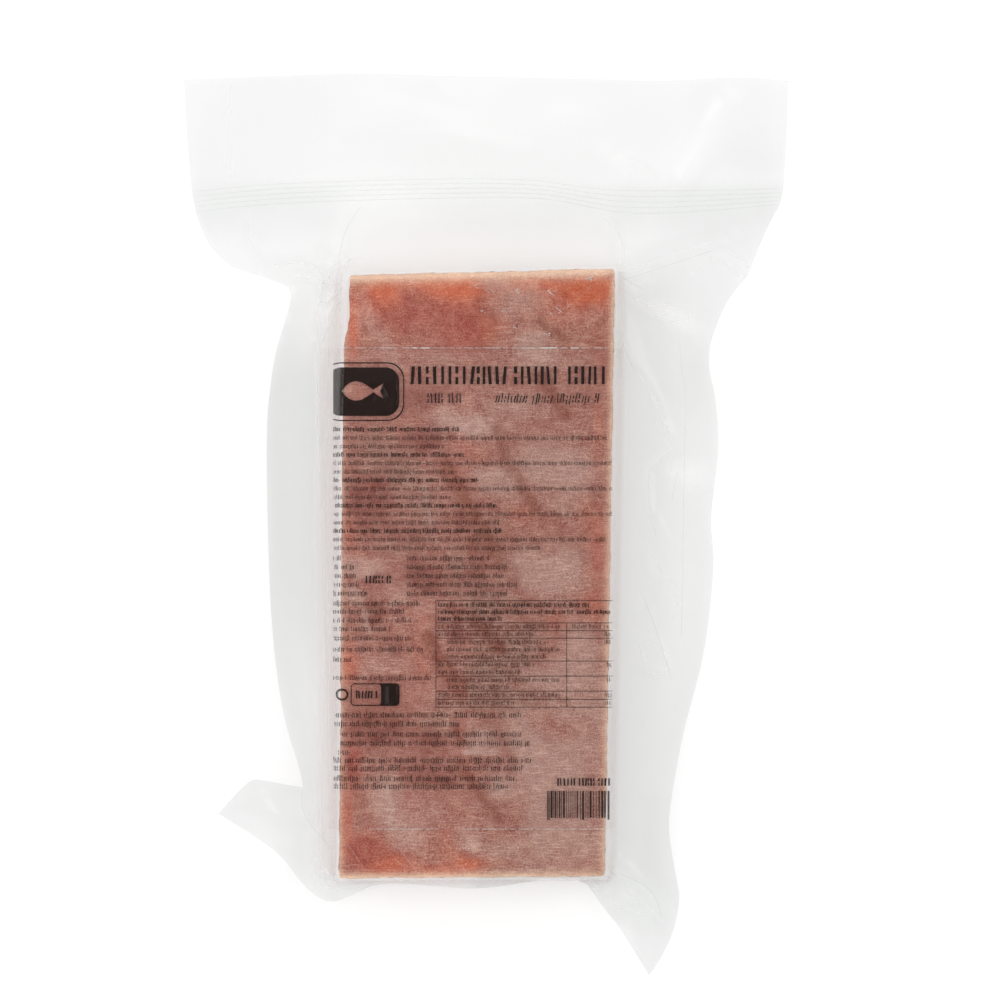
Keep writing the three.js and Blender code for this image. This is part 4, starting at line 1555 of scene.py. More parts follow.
@dataclass
class Label:
    """The clear printed label over the loin, wrapped down both long sides."""

    pouch: Pouch
    top: float = 51.6
    bottom: float = -89.3
    drop_left: Point = (6.4, 2.6)
    drop_right: float = 2.2
    gap: float = 0.12
    thickness: float = 0.12
    cells_along: int = 150
    cells_drop: int = 10
    cells_over: int = 60
    glue_step: float = 0.6
    glue: Ribbon = Ribbon(((0.02, 1.0), (0.34, 0.6)), 6, 0.04)

    def side_left(self, y: Array) -> Array:
        """Return the x of the label's left edge at a given y."""
        along = (self.top - y) / (self.top - self.bottom)
        return self.pouch.loin.left_at(y) - blend(*self.drop_left, along)

    def side_right(self, y: Array) -> Array:
        """Return the x of the label's right edge at a given y."""
        return self.pouch.loin.right_at(y) + self.drop_right

    def build(self, finish: Material) -> Piece:
        """Make the label as a thin closed sheet.

        Args:
            finish: the label's material.

        Returns:
            The piece.
        """
        y = np.linspace(self.top, self.bottom, self.cells_along + 1)[:, None]
        left, right = self.pouch.loin.left_at(y), self.pouch.loin.right_at(y)
        outer_left, outer_right = self.side_left(y), self.side_right(y)
        over = self.pouch.rounded_stops(80.0, 5, self.cells_over)
        x = np.hstack(
            [
                blend(outer_left, left, even(self.cells_drop)),
                blend(left, right, over),
                blend(right, outer_right, np.linspace(0, 1, self.cells_drop)),
            ]
        )
        y = np.broadcast_to(y, x.shape)
        layers = [self.pouch.off_front(x, y, away) for away in (self.gap + self.thickness, self.gap)]
        vertices = np.concatenate([layer.reshape(-1, 3) for layer in layers])
        return make_piece("label_sheet", vertices, sheet_faces(*x.shape), finish)

    def build_edges(self, finish: Material) -> Piece:
        """Make the cut ends of the label, where the adhesive has caught white in broken stretches; the
        white is also a painted highlight of the cut edge.

        Args:
            finish: the material of the white edge, adhesive and painted highlight.

        Returns:
            The piece.
        """
        draw = np.random.default_rng(81)
        stretches = [(self.top, -42.2, 35.6), (self.bottom, -34.2, -13.9), (self.bottom, -7.4, 35.4)]
        # Stretches where the edge's painted highlight is stronger, and its line wider.
        bright = [(self.top, -23.3, -18.6), (self.top, 11.8, 17.4), (self.top, 24.2, 26.8)]
        vertices, faces = [], []
        for y, start, end in stretches:
            x = start
            while x < end:
                run = min(draw.uniform(1.2, 6.0), end - x)
                strong = any(y == level and low < x < high for level, low, high in bright)
                half = draw.uniform(0.045, 0.08) + 0.09 * strong
                stop = x + run
                steps = 1 + max(2, int((stop - x) / self.glue_step))
                points = np.stack([np.linspace(x, stop, steps), np.full(steps, y)], -1)
                self.glue.lay(self.pouch, vertices, faces, points, half)
                x += run + (draw.uniform(0.0, 0.9) if draw.random() < 0.5 else 0.02)
        return make_piece("label_cut_edges", np.array(vertices), faces, finish)


@dataclass(frozen=True)
class TextStyle:
    """How a line of print is drawn: plain strokes in word-like groups."""

    height: float
    stroke: float
    pitch: float
    tall_share: float = 0.25
    word: tuple[int, int] = (4, 15)
    space: float = 0.6
    slant: float = 0.0


SMALL = TextStyle(height=0.95, stroke=0.14, pitch=0.40)
BOLD = TextStyle(height=1.0, stroke=0.23, pitch=0.42)
MEDIUM = TextStyle(height=1.1, stroke=0.17, pitch=0.45)
LARGE = TextStyle(height=1.25, stroke=0.20, pitch=0.54, space=0.8)
FIGURE = TextStyle(height=2.2, stroke=0.42, pitch=0.86, tall_share=0.0, word=(4, 9))
SUBTITLE = TextStyle(height=2.9, stroke=0.34, pitch=1.0, tall_share=0.0, word=(3, 6), space=1.2)
ITALIC = TextStyle(
    height=2.0, stroke=0.30, pitch=0.88, tall_share=0.3, word=(7, 14), space=1.2, slant=0.22
)
TITLE = TextStyle(height=5.2, stroke=0.82, pitch=1.95, tall_share=0.0, word=(30, 31))


@dataclass
class Print:
    """The label's print as plain shapes: stroke rows for text, a badge, a table and a bar code."""

    label: Label
    lift: float = 0.30
    thickness: float = 0.05
    seed: int = 91
    # The label was cut past its design's left edge, so that its lines begin in mid-word.
    printed_from: float = -44.5
    # The fields are cut across every so often: along the label's flat, its two bends and its length.
    flat_cut: float = 5.0
    bend_cut: float = 0.55
    long_cut: float = 6.0
    bends: Point = (-37.0, 33.0)
    ends: Point = (-48.0, 38.6)
    flat: Flat = field(init=False)
    draw: Chance = field(init=False)

    def build(self, finish: Material) -> Piece:
        """Make all the print as one mesh of thin raised fields that follow the label.

        Args:
            finish: the ink.

        Returns:
            The piece.
        """
        self.draw, self.flat = np.random.default_rng(self.seed), bmesh.new()
        self.add_heading()
        self.add_paragraphs()
        self.add_table()
        self.add_badge()
        self.add_pictograms()
        self.add_bar_code()
        self.cut()
        vertices, faces = self.raise_fields()
        self.flat.free()
        return make_piece("label_print", vertices, faces, finish)

    def add_field(self, *corners: Point) -> None:
        """Add one flat field by its corners, anticlockwise."""
        self.flat.faces.new([self.flat.verts.new((x, y, 0)) for x, y in corners])

    def add_bar(self, left: float, right: float, bottom: float, top: float) -> None:
        """Add an upright rectangle."""
        self.add_field((left, bottom), (right, bottom), (right, top), (left, top))

    def add_shape(self, *outlines: list[Point]) -> None:
        """Add a shape whose first outline is its edge and whose others are holes.

        Args:
            *outlines: the points of each outline; a hole's run the other way round.
        """
        loops = [[Vector((x, y, 0)) for x, y in outline] for outline in outlines]
        vertices = [self.flat.verts.new(point) for loop in loops for point in loop]
        for triangle in tessellate_polygon(loops):
            a, b, c = (vertices[i] for i in triangle)
            turn = (b.co - a.co).cross(c.co - a.co).z
            if abs(turn) > 1e-9:
                self.flat.faces.new([a, b, c] if turn > 0 else [a, c, b])

    def add_stroke(self, left: float, width: float, low: float, high: float, lean: float) -> None:
        """Add one stroke of print.

        Args:
            left: the x of its foot.
            width: its width.
            low, high: the y of its two ends.
            lean: how far its upper end stands to the right of its foot.
        """
        right = left + width
        self.add_field((left, low), (right, low), (right + lean, high), (left + lean, high))

    def add_text(
        self, style: TextStyle, start: float, end: float, middle: float, own: Chance | None = None
    ) -> None:
        """Add one line of strokes in word-like groups.

        Args:
            style: the strokes' sizes.
            start, end: the x of the line's two ends.
            middle: the y of its middle.
            own: a source of chance of its own, if it has one.
        """
        x, height, draw = start, style.height, own or self.draw
        base = middle - height / 2
        # Each stroke is upright or leans, or has a gap in its middle, or in small print is a dash.
        while x < end - style.stroke:
            for _ in range(int(draw.integers(*style.word))):
                if x >= end - style.stroke:
                    break
                kind, width = draw.random(), style.stroke * draw.uniform(0.85, 1.15)
                tilt = draw.uniform(-0.3, 0.3) * style.pitch if kind < 0.5 else 0
                lean = style.slant * height + tilt
                top = base + height * (1.38 if draw.random() < style.tall_share else 1.0)
                low = base - (0.3 * height if draw.random() < 0.35 * style.tall_share else 0)
                if kind > 0.94 and style.height < 1.5:
                    self.add_stroke(x, 1.7 * width, base + 0.42 * height, base + 0.60 * height, 0)
                elif kind > 0.72:
                    self.add_stroke(x, width, low, base + 0.40 * height, 0.4 * lean)
                    self.add_stroke(x + 0.6 * lean, width, base + 0.60 * height, top, 0.4 * lean)
                else:
                    self.add_stroke(x, width, low, top, lean)
                x += style.pitch * draw.uniform(0.85, 1.2)
            x += style.space

    def add_heading(self) -> None:
        """Add the bold heading's three words and the smaller line under it."""
        for start, end in ((-22.1, 6.8), (8.2, 22.7), (24.1, 37.0)):
            self.add_text(TITLE, start, end, 43.6)
        self.add_text(SUBTITLE, -17.1, -5.6, 36.9)
        self.add_text(ITALIC, 2.7, 33.6, 36.6)

    def add_paragraphs(self) -> None:
        """Add the rows of small print."""
        groups = (
            (-7.7, 35.4, -12.1), (-6.2, 37.0, -8.3), (-2.1, 37.0, -10), (3.2, 36.8, 3.8),
            (4.7, 35.4, 16.2),
        )
        group_pitch, line_pitch = 7.44, 2.5
        for number, ends in enumerate(groups):
            for line, end in enumerate(ends):
                y = 27.7 - group_pitch * number - line_pitch * line
                style = BOLD if line == 0 else SMALL
                self.add_text(style, self.label.side_left(np.array(y)) + 1.2, end, y)
        storage_pitch = 2.57
        for line, (left_end, right_end) in enumerate(
            ((-42.4, 0.9), (-38.5, 6.5), (-38.0, 5.3), (-37.2, 9.7), (-34.4, 7.1))
        ):
            y = -10.1 - storage_pitch * line
            self.add_text(MEDIUM, self.label.side_left(np.array(y)) + 1.2, left_end, y)
            self.add_text(MEDIUM, -23.0, right_end, y)
        self.add_text(FIGURE, -35.2, -27.2, -16.2)
        for y, end in (
            (-23.3, -19.2), (-25.7, -23.9), (-28.3, -21.8), (-30.8, -28.0), (-33.5, -21.8),
            (-36.8, -17.7), (-39.8, -39.2), (-45.1, -16.2),
        ):
            self.add_text(MEDIUM, self.label.side_left(np.array(y)) + 1.6, end, y)
        for y, start, end in (
            (-56.0, -44.0, 10.6), (-58.6, -44.0, -7.4), (-61.6, -42.4, 10.9), (-64.2, -42.4, 13.0),
            (-66.9, -43.0, -39.8), (-69.3, -44.3, 13.6), (-71.6, -44.3, 10.9), (-74.6, -44.3, 8.5),
            (-76.9, -44.3, 6.8),
        ):
            self.add_text(LARGE, start, end, y)
        self.add_text(FIGURE, 20.9, 36.4, -75.5)

    def add_table(self) -> None:
        """Add the ruled table with its rows of text."""
        left, right, column, rule = -14.7, 36.8, 23.6, 0.16
        levels = (-22.4, -28.9, -31.2, -33.4, -40.1, -44.5, -48.9, -51.3, -53.6)
        for y in levels:
            self.add_bar(left + rule, right, y - rule / 2, y + rule / 2)
        self.add_bar(left, left + rule, levels[-1] - rule / 2, levels[0] + rule / 2)
        for above, below in zip(levels[1:], levels[2:]):
            self.add_bar(column, column + rule, below + rule / 2, above - rule / 2)
        inset = -14.0
        deeper = inset + 2.6
        for y, start, end, style in (
            (-23.7, inset, 30.6, BOLD), (-25.8, inset, 36.3, BOLD), (-27.8, inset, 4.7, BOLD),
            (-30.1, inset, 22.1, SMALL), (-32.3, inset, 13.9, SMALL), (-34.6, deeper, 17.7, SMALL),
            (-36.8, deeper, 21.5, SMALL), (-38.9, deeper, 17.7, SMALL), (-41.2, inset, 14.1, SMALL),
            (-43.4, inset, 10.0, SMALL), (-45.7, deeper, 21.8, SMALL), (-47.8, deeper, 6.8, SMALL),
            (-50.1, inset, 21.8, SMALL), (-52.4, inset, 8.5, SMALL), (-30.1, 25.3, 36.0, SMALL),
            (-32.3, 34.8, 36.6, SMALL), (-34.6, 34.8, 36.6, SMALL), (-41.2, 35.4, 36.6, SMALL),
            (-45.7, 35.4, 36.6, SMALL), (-50.1, 34.8, 36.6, SMALL), (-52.4, 34.5, 36.6, SMALL),
        ):
            self.add_text(style, start, end, y)

    @staticmethod
    def rounded(left: float, right: float, bottom: float, top: float, radius: float) -> list[Point]:
        """Draw a rectangle with round corners.

        Args:
            left, right, bottom, top: its sides.
            radius: the radius of its corners.

        Returns:
            The points of the outline, anticlockwise.
        """
        corners = ((right, bottom, -90), (right, top, 0), (left, top, 90), (left, bottom, 180))
        points = []
        for x, y, first in corners:
            cx = x + radius * (1 if x == left else -1)
            cy = y + radius * (1 if y == bottom else -1)
            for step in range(9):
                angle = math.radians(first + 90 * step / 8)
                points.append((cx + radius * math.cos(angle), cy + radius * math.sin(angle)))
        return points

    def add_badge(self) -> None:
        """Add a plain badge: a dark rounded panel in a thin frame, with a see-through fish."""
        left, right, bottom, top = -46.2, -25.4, 31.7, 45.9
        margin, line = 1.5, 0.35
        frame_out = self.rounded(left - margin, right + margin, bottom - margin, top + margin, 5.0)
        inner = margin - line
        frame_in = self.rounded(left - inner, right + inner, bottom - inner, top + inner, 4.7)
        self.add_shape(frame_out, frame_in[::-1])
        self.add_shape(self.rounded(left, right, bottom, top, 4.0), self.fish((-36.4, 39.0), 5.6, 2.7))

    @staticmethod
    def fish(centre: Point, half_length: float, half_height: float) -> list[Point]:
        """Draw a simple fish: a pointed oval body with a forked tail.

        Args:
            centre: the middle of the fish.
            half_length, half_height: half its length and half its height.

        Returns:
            The points of the outline, clockwise.
        """
        steps = 14
        upper, lower = [], []
        for step in range(steps + 1):
            along = step / steps
            x = centre[0] - half_length + 2 * half_length * 0.8 * along
            y = half_height * math.sin(math.pi * along**0.8) ** 0.9 + 0.35 * along
            upper.append((x, centre[1] + y))
            lower.append((x, centre[1] - y))
        tip = centre[0] + half_length * 1.15
        spread = 0.85 * half_height
        tail = [(tip, centre[1] + spread), (tip - 1.0, centre[1]), (tip, centre[1] - spread)]
        return [*upper, *tail, *lower[:0:-1]]

    def add_pictograms(self) -> None:
        """Add the small round mark and the boxed mark with its dark end."""
        centre, ring = (-42.0, -49.9), [(1.75, 1), (1.2, -1)]
        circles = [
            [
                (centre[0] + r * math.cos(way * a), centre[1] + r * math.sin(way * a))
                for a in np.linspace(0, 2 * math.pi, 24, endpoint=False)
            ]
            for r, way in ring
        ]
        self.add_shape(*circles)
        left, right, bottom, top, line = -39.6, -25.3, -53.2, -46.6, 0.3
        box = self.rounded(left, right, bottom, top, 1.2)
        window = self.rounded(left + line, right - 5.4, bottom + line, top - line, 0.8)
        self.add_shape(box, window[::-1])
        own = np.random.default_rng(92)
        self.add_text(FIGURE, left + 1.6, right - 6.4, (bottom + top) / 2, own)

    def add_bar_code(self) -> None:
        """Add a made-up bar code, with longer guard bars at its ends and middle."""
        x, end, top, bottom, unit = 18.0, 36.6, -78.1, -86.0, 0.20
        number = 0
        while x < end - 4 * unit:
            bar = unit * self.draw.choice((1, 1, 2, 3))
            space = unit * self.draw.choice((1, 2, 2, 3))
            guard = number in (0, 1, 15, 16) or x > end - 8 * unit
            self.add_bar(x, x + 0.85 * bar, bottom - (0.6 if guard else 0), top)
            x += bar + space
            number += 1

    def cut(self) -> None:
        """Cut the flat fields across, so that they can bend over the loin's edges."""
        self.cut_at((self.printed_from, 0, 0), (1, 0, 0), clear_inner=True)
        (start, end), (left, right) = self.ends, self.bends
        across = [*np.arange(start, left, self.bend_cut), *np.arange(left, right, self.flat_cut)]
        across += list(np.arange(right, end, self.bend_cut))
        for x in across:
            self.cut_at((x, 0, 0), (1, 0, 0))
        for y in np.arange(self.label.bottom, self.label.top, self.long_cut):
            self.cut_at((0, y, 0), (0, 1, 0))

    def cut_at(self, point: Spot, square: Spot, **settings: bool) -> None:
        """Cut all the flat fields along one line.

        Args:
            point: a point of the line.
            square: the direction square to it.
            **settings: what else Blender's cut is to do.
        """
        fields = [*self.flat.verts, *self.flat.edges, *self.flat.faces]
        bmesh.ops.bisect_plane(
            self.flat, geom=fields, dist=1e-5, plane_co=point, plane_no=square, **settings
        )

    def raise_fields(self) -> tuple[Array, list]:
        """Turn the flat fields into thin closed ones that follow the label.

        Returns:
            The vertices in millimetres and the faces.
        """
        flat = self.flat
        flat.verts.index_update()
        flat.verts.ensure_lookup_table()
        count = len(flat.verts)
        plan = np.array([(v.co.x, v.co.y) for v in flat.verts])
        x, y = plan[:, 0], plan[:, 1]
        lower = self.label.pouch.off_front(x, y, self.lift)
        upper = self.label.pouch.off_front(x, y, self.lift + self.thickness)
        faces = []
        for face in flat.faces:
            ring = [v.index for v in face.verts]
            if not self.is_anticlockwise(plan[ring]):
                ring = ring[::-1]
            faces.append([i + count for i in ring])
            faces.append(ring[::-1])
            for a, b in zip(ring, ring[1:] + ring[:1]):
                if len(flat.edges.get((flat.verts[a], flat.verts[b])).link_faces) == 1:
                    faces.append([a, b, b + count, a + count])
        return np.vstack([lower, upper]), faces

    @staticmethod
    def is_anticlockwise(ring: Array) -> bool:
        """Tell whether a ring of points turns anticlockwise."""
        x, y = ring[:, 0], ring[:, 1]
        return float(np.sum(x * np.roll(y, -1) - y * np.roll(x, -1))) > 0


@dataclass(frozen=True)
class Finish:
    """A material, named for what it is and how it was made; each kind of finish wires its own."""

    name: str

    def wire(self, tree: Tree) -> Socket:
        """Add the finish's nodes to a tree and return the shader of its surface."""
        raise NotImplementedError

    def make(self) -> Material:
        """Make the finish's material.

        Returns:
            The material.
        """
        material = bpy.data.materials.new(self.name)
        material.use_nodes = True
        tree = material.node_tree
        tree.nodes.clear()
        add_node(tree, "OutputMaterial", {"Surface": self.wire(tree)})
        return material


@dataclass(frozen=True)
class Gloss:
    """A glossy coat: what it mirrors head on and at a glance, how rough it is and how fast it grows."""

    head_on: float
    at_a_glance: float
    roughness: float
    power: float = 4.0

    def lay(self, tree: Tree, body: Socket, bump: Socket | None = None) -> Socket:
        """Lay the coat over a shader.

        Args:
            tree: the material's node tree.
            body: the shader under the coat.
            bump: the coat's bumped normal, if it has one.

        Returns:
            The shader with its coat.
        """
        bumped = {} if bump is None else {"Normal": bump}
        facing = add_node(tree, "LayerWeight", {"Blend": 0.5, **bumped}, "Facing")
        glance = add_node(tree, "Math", {0: facing, 1: self.power}, operation="POWER")
        grows = {0: glance, 1: self.at_a_glance, 2: self.head_on}
        share = add_node(tree, "Math", grows, operation="MULTIPLY_ADD", use_clamp=True)
        shines = {"Color": linear(WHITE), "Roughness": self.roughness, **bumped}
        mirror = add_node(tree, "BsdfGlossy", shines)
        return add_node(tree, "MixShader", {0: share, 1: body, 2: mirror})


@dataclass(frozen=True)
class Mottle:
    """Patchy cover: its lumps to a millimetre, their softness, and how much they hide, give or take."""

    lumps: float
    swing: float
    cover: float
    spread: float

    def thin(self, tree: Tree, body: Socket) -> Socket:
        """Let the ground show through a shader in small patches.

        Args:
            tree: the material's node tree.
            body: the shader that covers the ground.

        Returns:
            The shader with its gaps.
        """
        place = add_node(tree, "TexCoord", result="Object")
        lumps = {"Vector": place, "Scale": self.lumps / METRES, "Detail": 2.0}
        noise = add_node(tree, "TexNoise", lumps)
        ends = {"From Min": 0.5 - self.swing, "From Max": 0.5 + self.swing}
        hides = {"To Min": self.cover - self.spread, "To Max": self.cover + self.spread}
        cover = add_node(tree, "MapRange", {"Value": noise, **ends, **hides})
        through = add_node(tree, "BsdfTransparent", {"Color": linear(WHITE)})
        return add_node(tree, "MixShader", {0: cover, 1: through, 2: body})


@dataclass(frozen=True)
class VacuumFilm(Finish):
    """Polyamide and polyethylene laminate, blown and welded: clear, glossy, a little grey in layers."""

    name: str = "vacuum film, blown PA and PE laminate"
    # A sheet mirrors a few percent head on and nearly all of the light at a glance.
    gloss: Gloss = Gloss(0.008, 0.8, 0.13)
    haze: float = 0.010
    # Grey is the film's tint and painted shade; cool is a painted cast against warm bounce light.
    clear: str = "#fefefe"
    grey: str = "#ecedec"
    cool: str = "#fcfffe"
    # Milk is haze, and in places painted highlights and painted light that lifts shade.
    milk: str = "#fafafa"
    milkiness: float = 0.30
    # Ribs of the side welds, in millimetres, and in metres how high they stand.
    rib_pitch: float = 1.15
    rib_depth: float = 0.00016
    # Handling leaves crinkles of 1 to 3 mm, which bend the reflections and not the outline: how many
    # there are to a millimetre, and in metres how high they stand.
    crinkles: float = 0.42
    crinkle_depth: float = 0.0005

    def wire(self, tree: Tree) -> Socket:
        """Wire the film: see-through head on, a mirror at a glance, ribbed along its welds.

        Args:
            tree: the material's node tree.

        Returns:
            The shader of its surface.
        """
        place = add_node(tree, "TexCoord", result="Object")
        ribs, grey, milk, cool = [
            add_node(tree, "Attribute", result="Fac", attribute_name=name)
            for name in ("ribs", "grey", "milk", "cool")
        ]
        # A wave texture has 10 / pi bands to each unit of its scale.
        bands = {"Vector": place, "Scale": math.pi / (10 * self.rib_pitch * METRES)}
        wave = add_node(
            tree, "TexWave", {**bands, "Distortion": 0.6, "Detail": 1.0}, "Fac", bands_direction="Y"
        )
        ribbing = add_node(tree, "Math", {0: wave, 1: ribs}, operation="MULTIPLY")
        crinkle = add_node(
            tree, "TexNoise", {"Vector": place, "Scale": self.crinkles / METRES, "Detail": 3.0}
        )
        rough = add_node(
            tree, "Bump", {"Height": crinkle, "Strength": 0.04, "Distance": self.crinkle_depth}
        )
        bump = add_node(
            tree, "Bump",
            {"Height": ribbing, "Strength": 0.8, "Distance": self.rib_depth, "Normal": rough},
        )
        # The grey attribute gives the film's own grey and its painted shade.
        shades = {MIX_SHARE: grey, MIX_A: linear(self.clear), MIX_B: linear(self.grey)}
        tint = add_node(tree, "Mix", shades, **MIX_COLOURS)
        # A painted cool cast, which cancels the warm light the loin bounces onto the film.
        shades = {MIX_SHARE: cool, MIX_A: tint, MIX_B: linear(self.cool)}
        tint = add_node(tree, "Mix", shades, **MIX_COLOURS, blend_type="MULTIPLY")
        through = add_node(tree, "BsdfTransparent", {"Color": tint})
        # The milk attribute thickens the haze: milky film, painted highlights and painted light.
        haze = add_node(
            tree, "Math", {0: milk, 1: self.milkiness, 2: self.haze}, operation="MULTIPLY_ADD"
        )
        glow = add_node(tree, "BsdfTranslucent", {"Color": linear(self.milk)})
        matt = add_node(tree, "BsdfDiffuse", {"Color": linear(self.milk)})
        scatter = add_node(tree, "MixShader", {0: 0.5, 1: glow, 2: matt})
        body = add_node(tree, "MixShader", {0: haze, 1: through, 2: scatter})
        return self.gloss.lay(tree, body, bump)


@dataclass(frozen=True)
class LabelFilm(Finish):
    """Clear polypropylene label stock, cast: a second glossy layer that greys the loin a little."""

    name: str = "label film, cast clear polypropylene"
    gloss: Gloss = Gloss(0.006, 0.08, 0.25)
    haze: float = 0.006
    tint: str = "#fefdfd"
    milk: str = "#d9d5d2"
    # Its adhesive dimples it in lumps of 4 mm: how many to a millimetre, and in metres how deep.
    dimples: float = 0.26
    dimple_depth: float = 0.0004

    def wire(self, tree: Tree) -> Socket:
        """Wire the label's film: see-through with a faint grey haze.

        Args:
            tree: the material's node tree.

        Returns:
            The shader of its surface.
        """
        place = add_node(tree, "TexCoord", result="Object")
        grain = add_node(
            tree, "TexNoise", {"Vector": place, "Scale": self.dimples / METRES, "Detail": 2.0}
        )
        bump = add_node(
            tree, "Bump", {"Height": grain, "Strength": 0.12, "Distance": self.dimple_depth}
        )
        through = add_node(tree, "BsdfTransparent", {"Color": linear(self.tint)})
        milk = add_node(tree, "BsdfDiffuse", {"Color": linear(self.milk)})
        body = add_node(tree, "MixShader", {0: self.haze, 1: through, 2: milk})
        return self.gloss.lay(tree, body, bump)


@dataclass(frozen=True)
class PrintedInk(Finish):
    """Black flexographic ink, printed thin: it covers most of what is under it, not all."""

    name: str = "black flexographic ink, printed"
    colour: str = "#211410"
    # Printed film shines at a glance, which greys the print where it runs down the loin's side.
    gloss: Gloss = Gloss(0.01, 0.5, 0.2, 3.0)
    mottle: Mottle = Mottle(0.9, 0.2, 0.79, 0.08)

    def wire(self, tree: Tree) -> Socket:
        """Wire the ink: near black, mottled and slightly see-through.

        Args:
            tree: the material's node tree.

        Returns:
            The shader of its surface.
        """
        ink = add_node(tree, "BsdfDiffuse", {"Color": linear(self.colour)})
        return self.mottle.thin(tree, self.gloss.lay(tree, ink))


@dataclass(frozen=True)
class FrostAndPaintedHighlight(Finish):
    """Ice crumbs, dried adhesive and painted white highlights: white, rough and a little see-through."""

    name: str
    colour: str
    cover: float
    spread: float = 0.15
    lumps: float = 1.1
    swing: float = 0.15
    roughness: float = 0.6

    def wire(self, tree: Tree) -> Socket:
        """Wire the white: a rough white that lets some of the ground through, for ice and painted
        highlights.

        Args:
            tree: the material's node tree.

        Returns:
            The shader of its surface.
        """
        white = {"Base Color": linear(self.colour), "Roughness": self.roughness}
        ice = add_node(tree, "BsdfPrincipled", white)
        mottle = Mottle(self.lumps, self.swing, self.cover, self.spread)
        return mottle.thin(tree, ice)


@dataclass(frozen=True)
class DoubleFilmShade(Finish):
    """Double film along a fold, painted as shade: only a shade greyer than the film around it."""

    name: str = "film fold, doubled"
    tint: str = "#f9faf9"

    def wire(self, tree: Tree) -> Socket:
        """Wire the fold's film: a faint grey tint, the painted shade.

        Args:
            tree: the material's node tree.

        Returns:
            The shader of its surface.
        """
        return add_node(tree, "BsdfTransparent", {"Color": linear(self.tint)})


@dataclass(frozen=True)
class TissueLook:
    """How one tissue shows on the loin: its colour and how ragged its edge is."""

    tissue: Tissue
    colour: str
    start: float
    end: float
    amount: float
    # How much of the frost it lacks.
    clears: float = 0.0


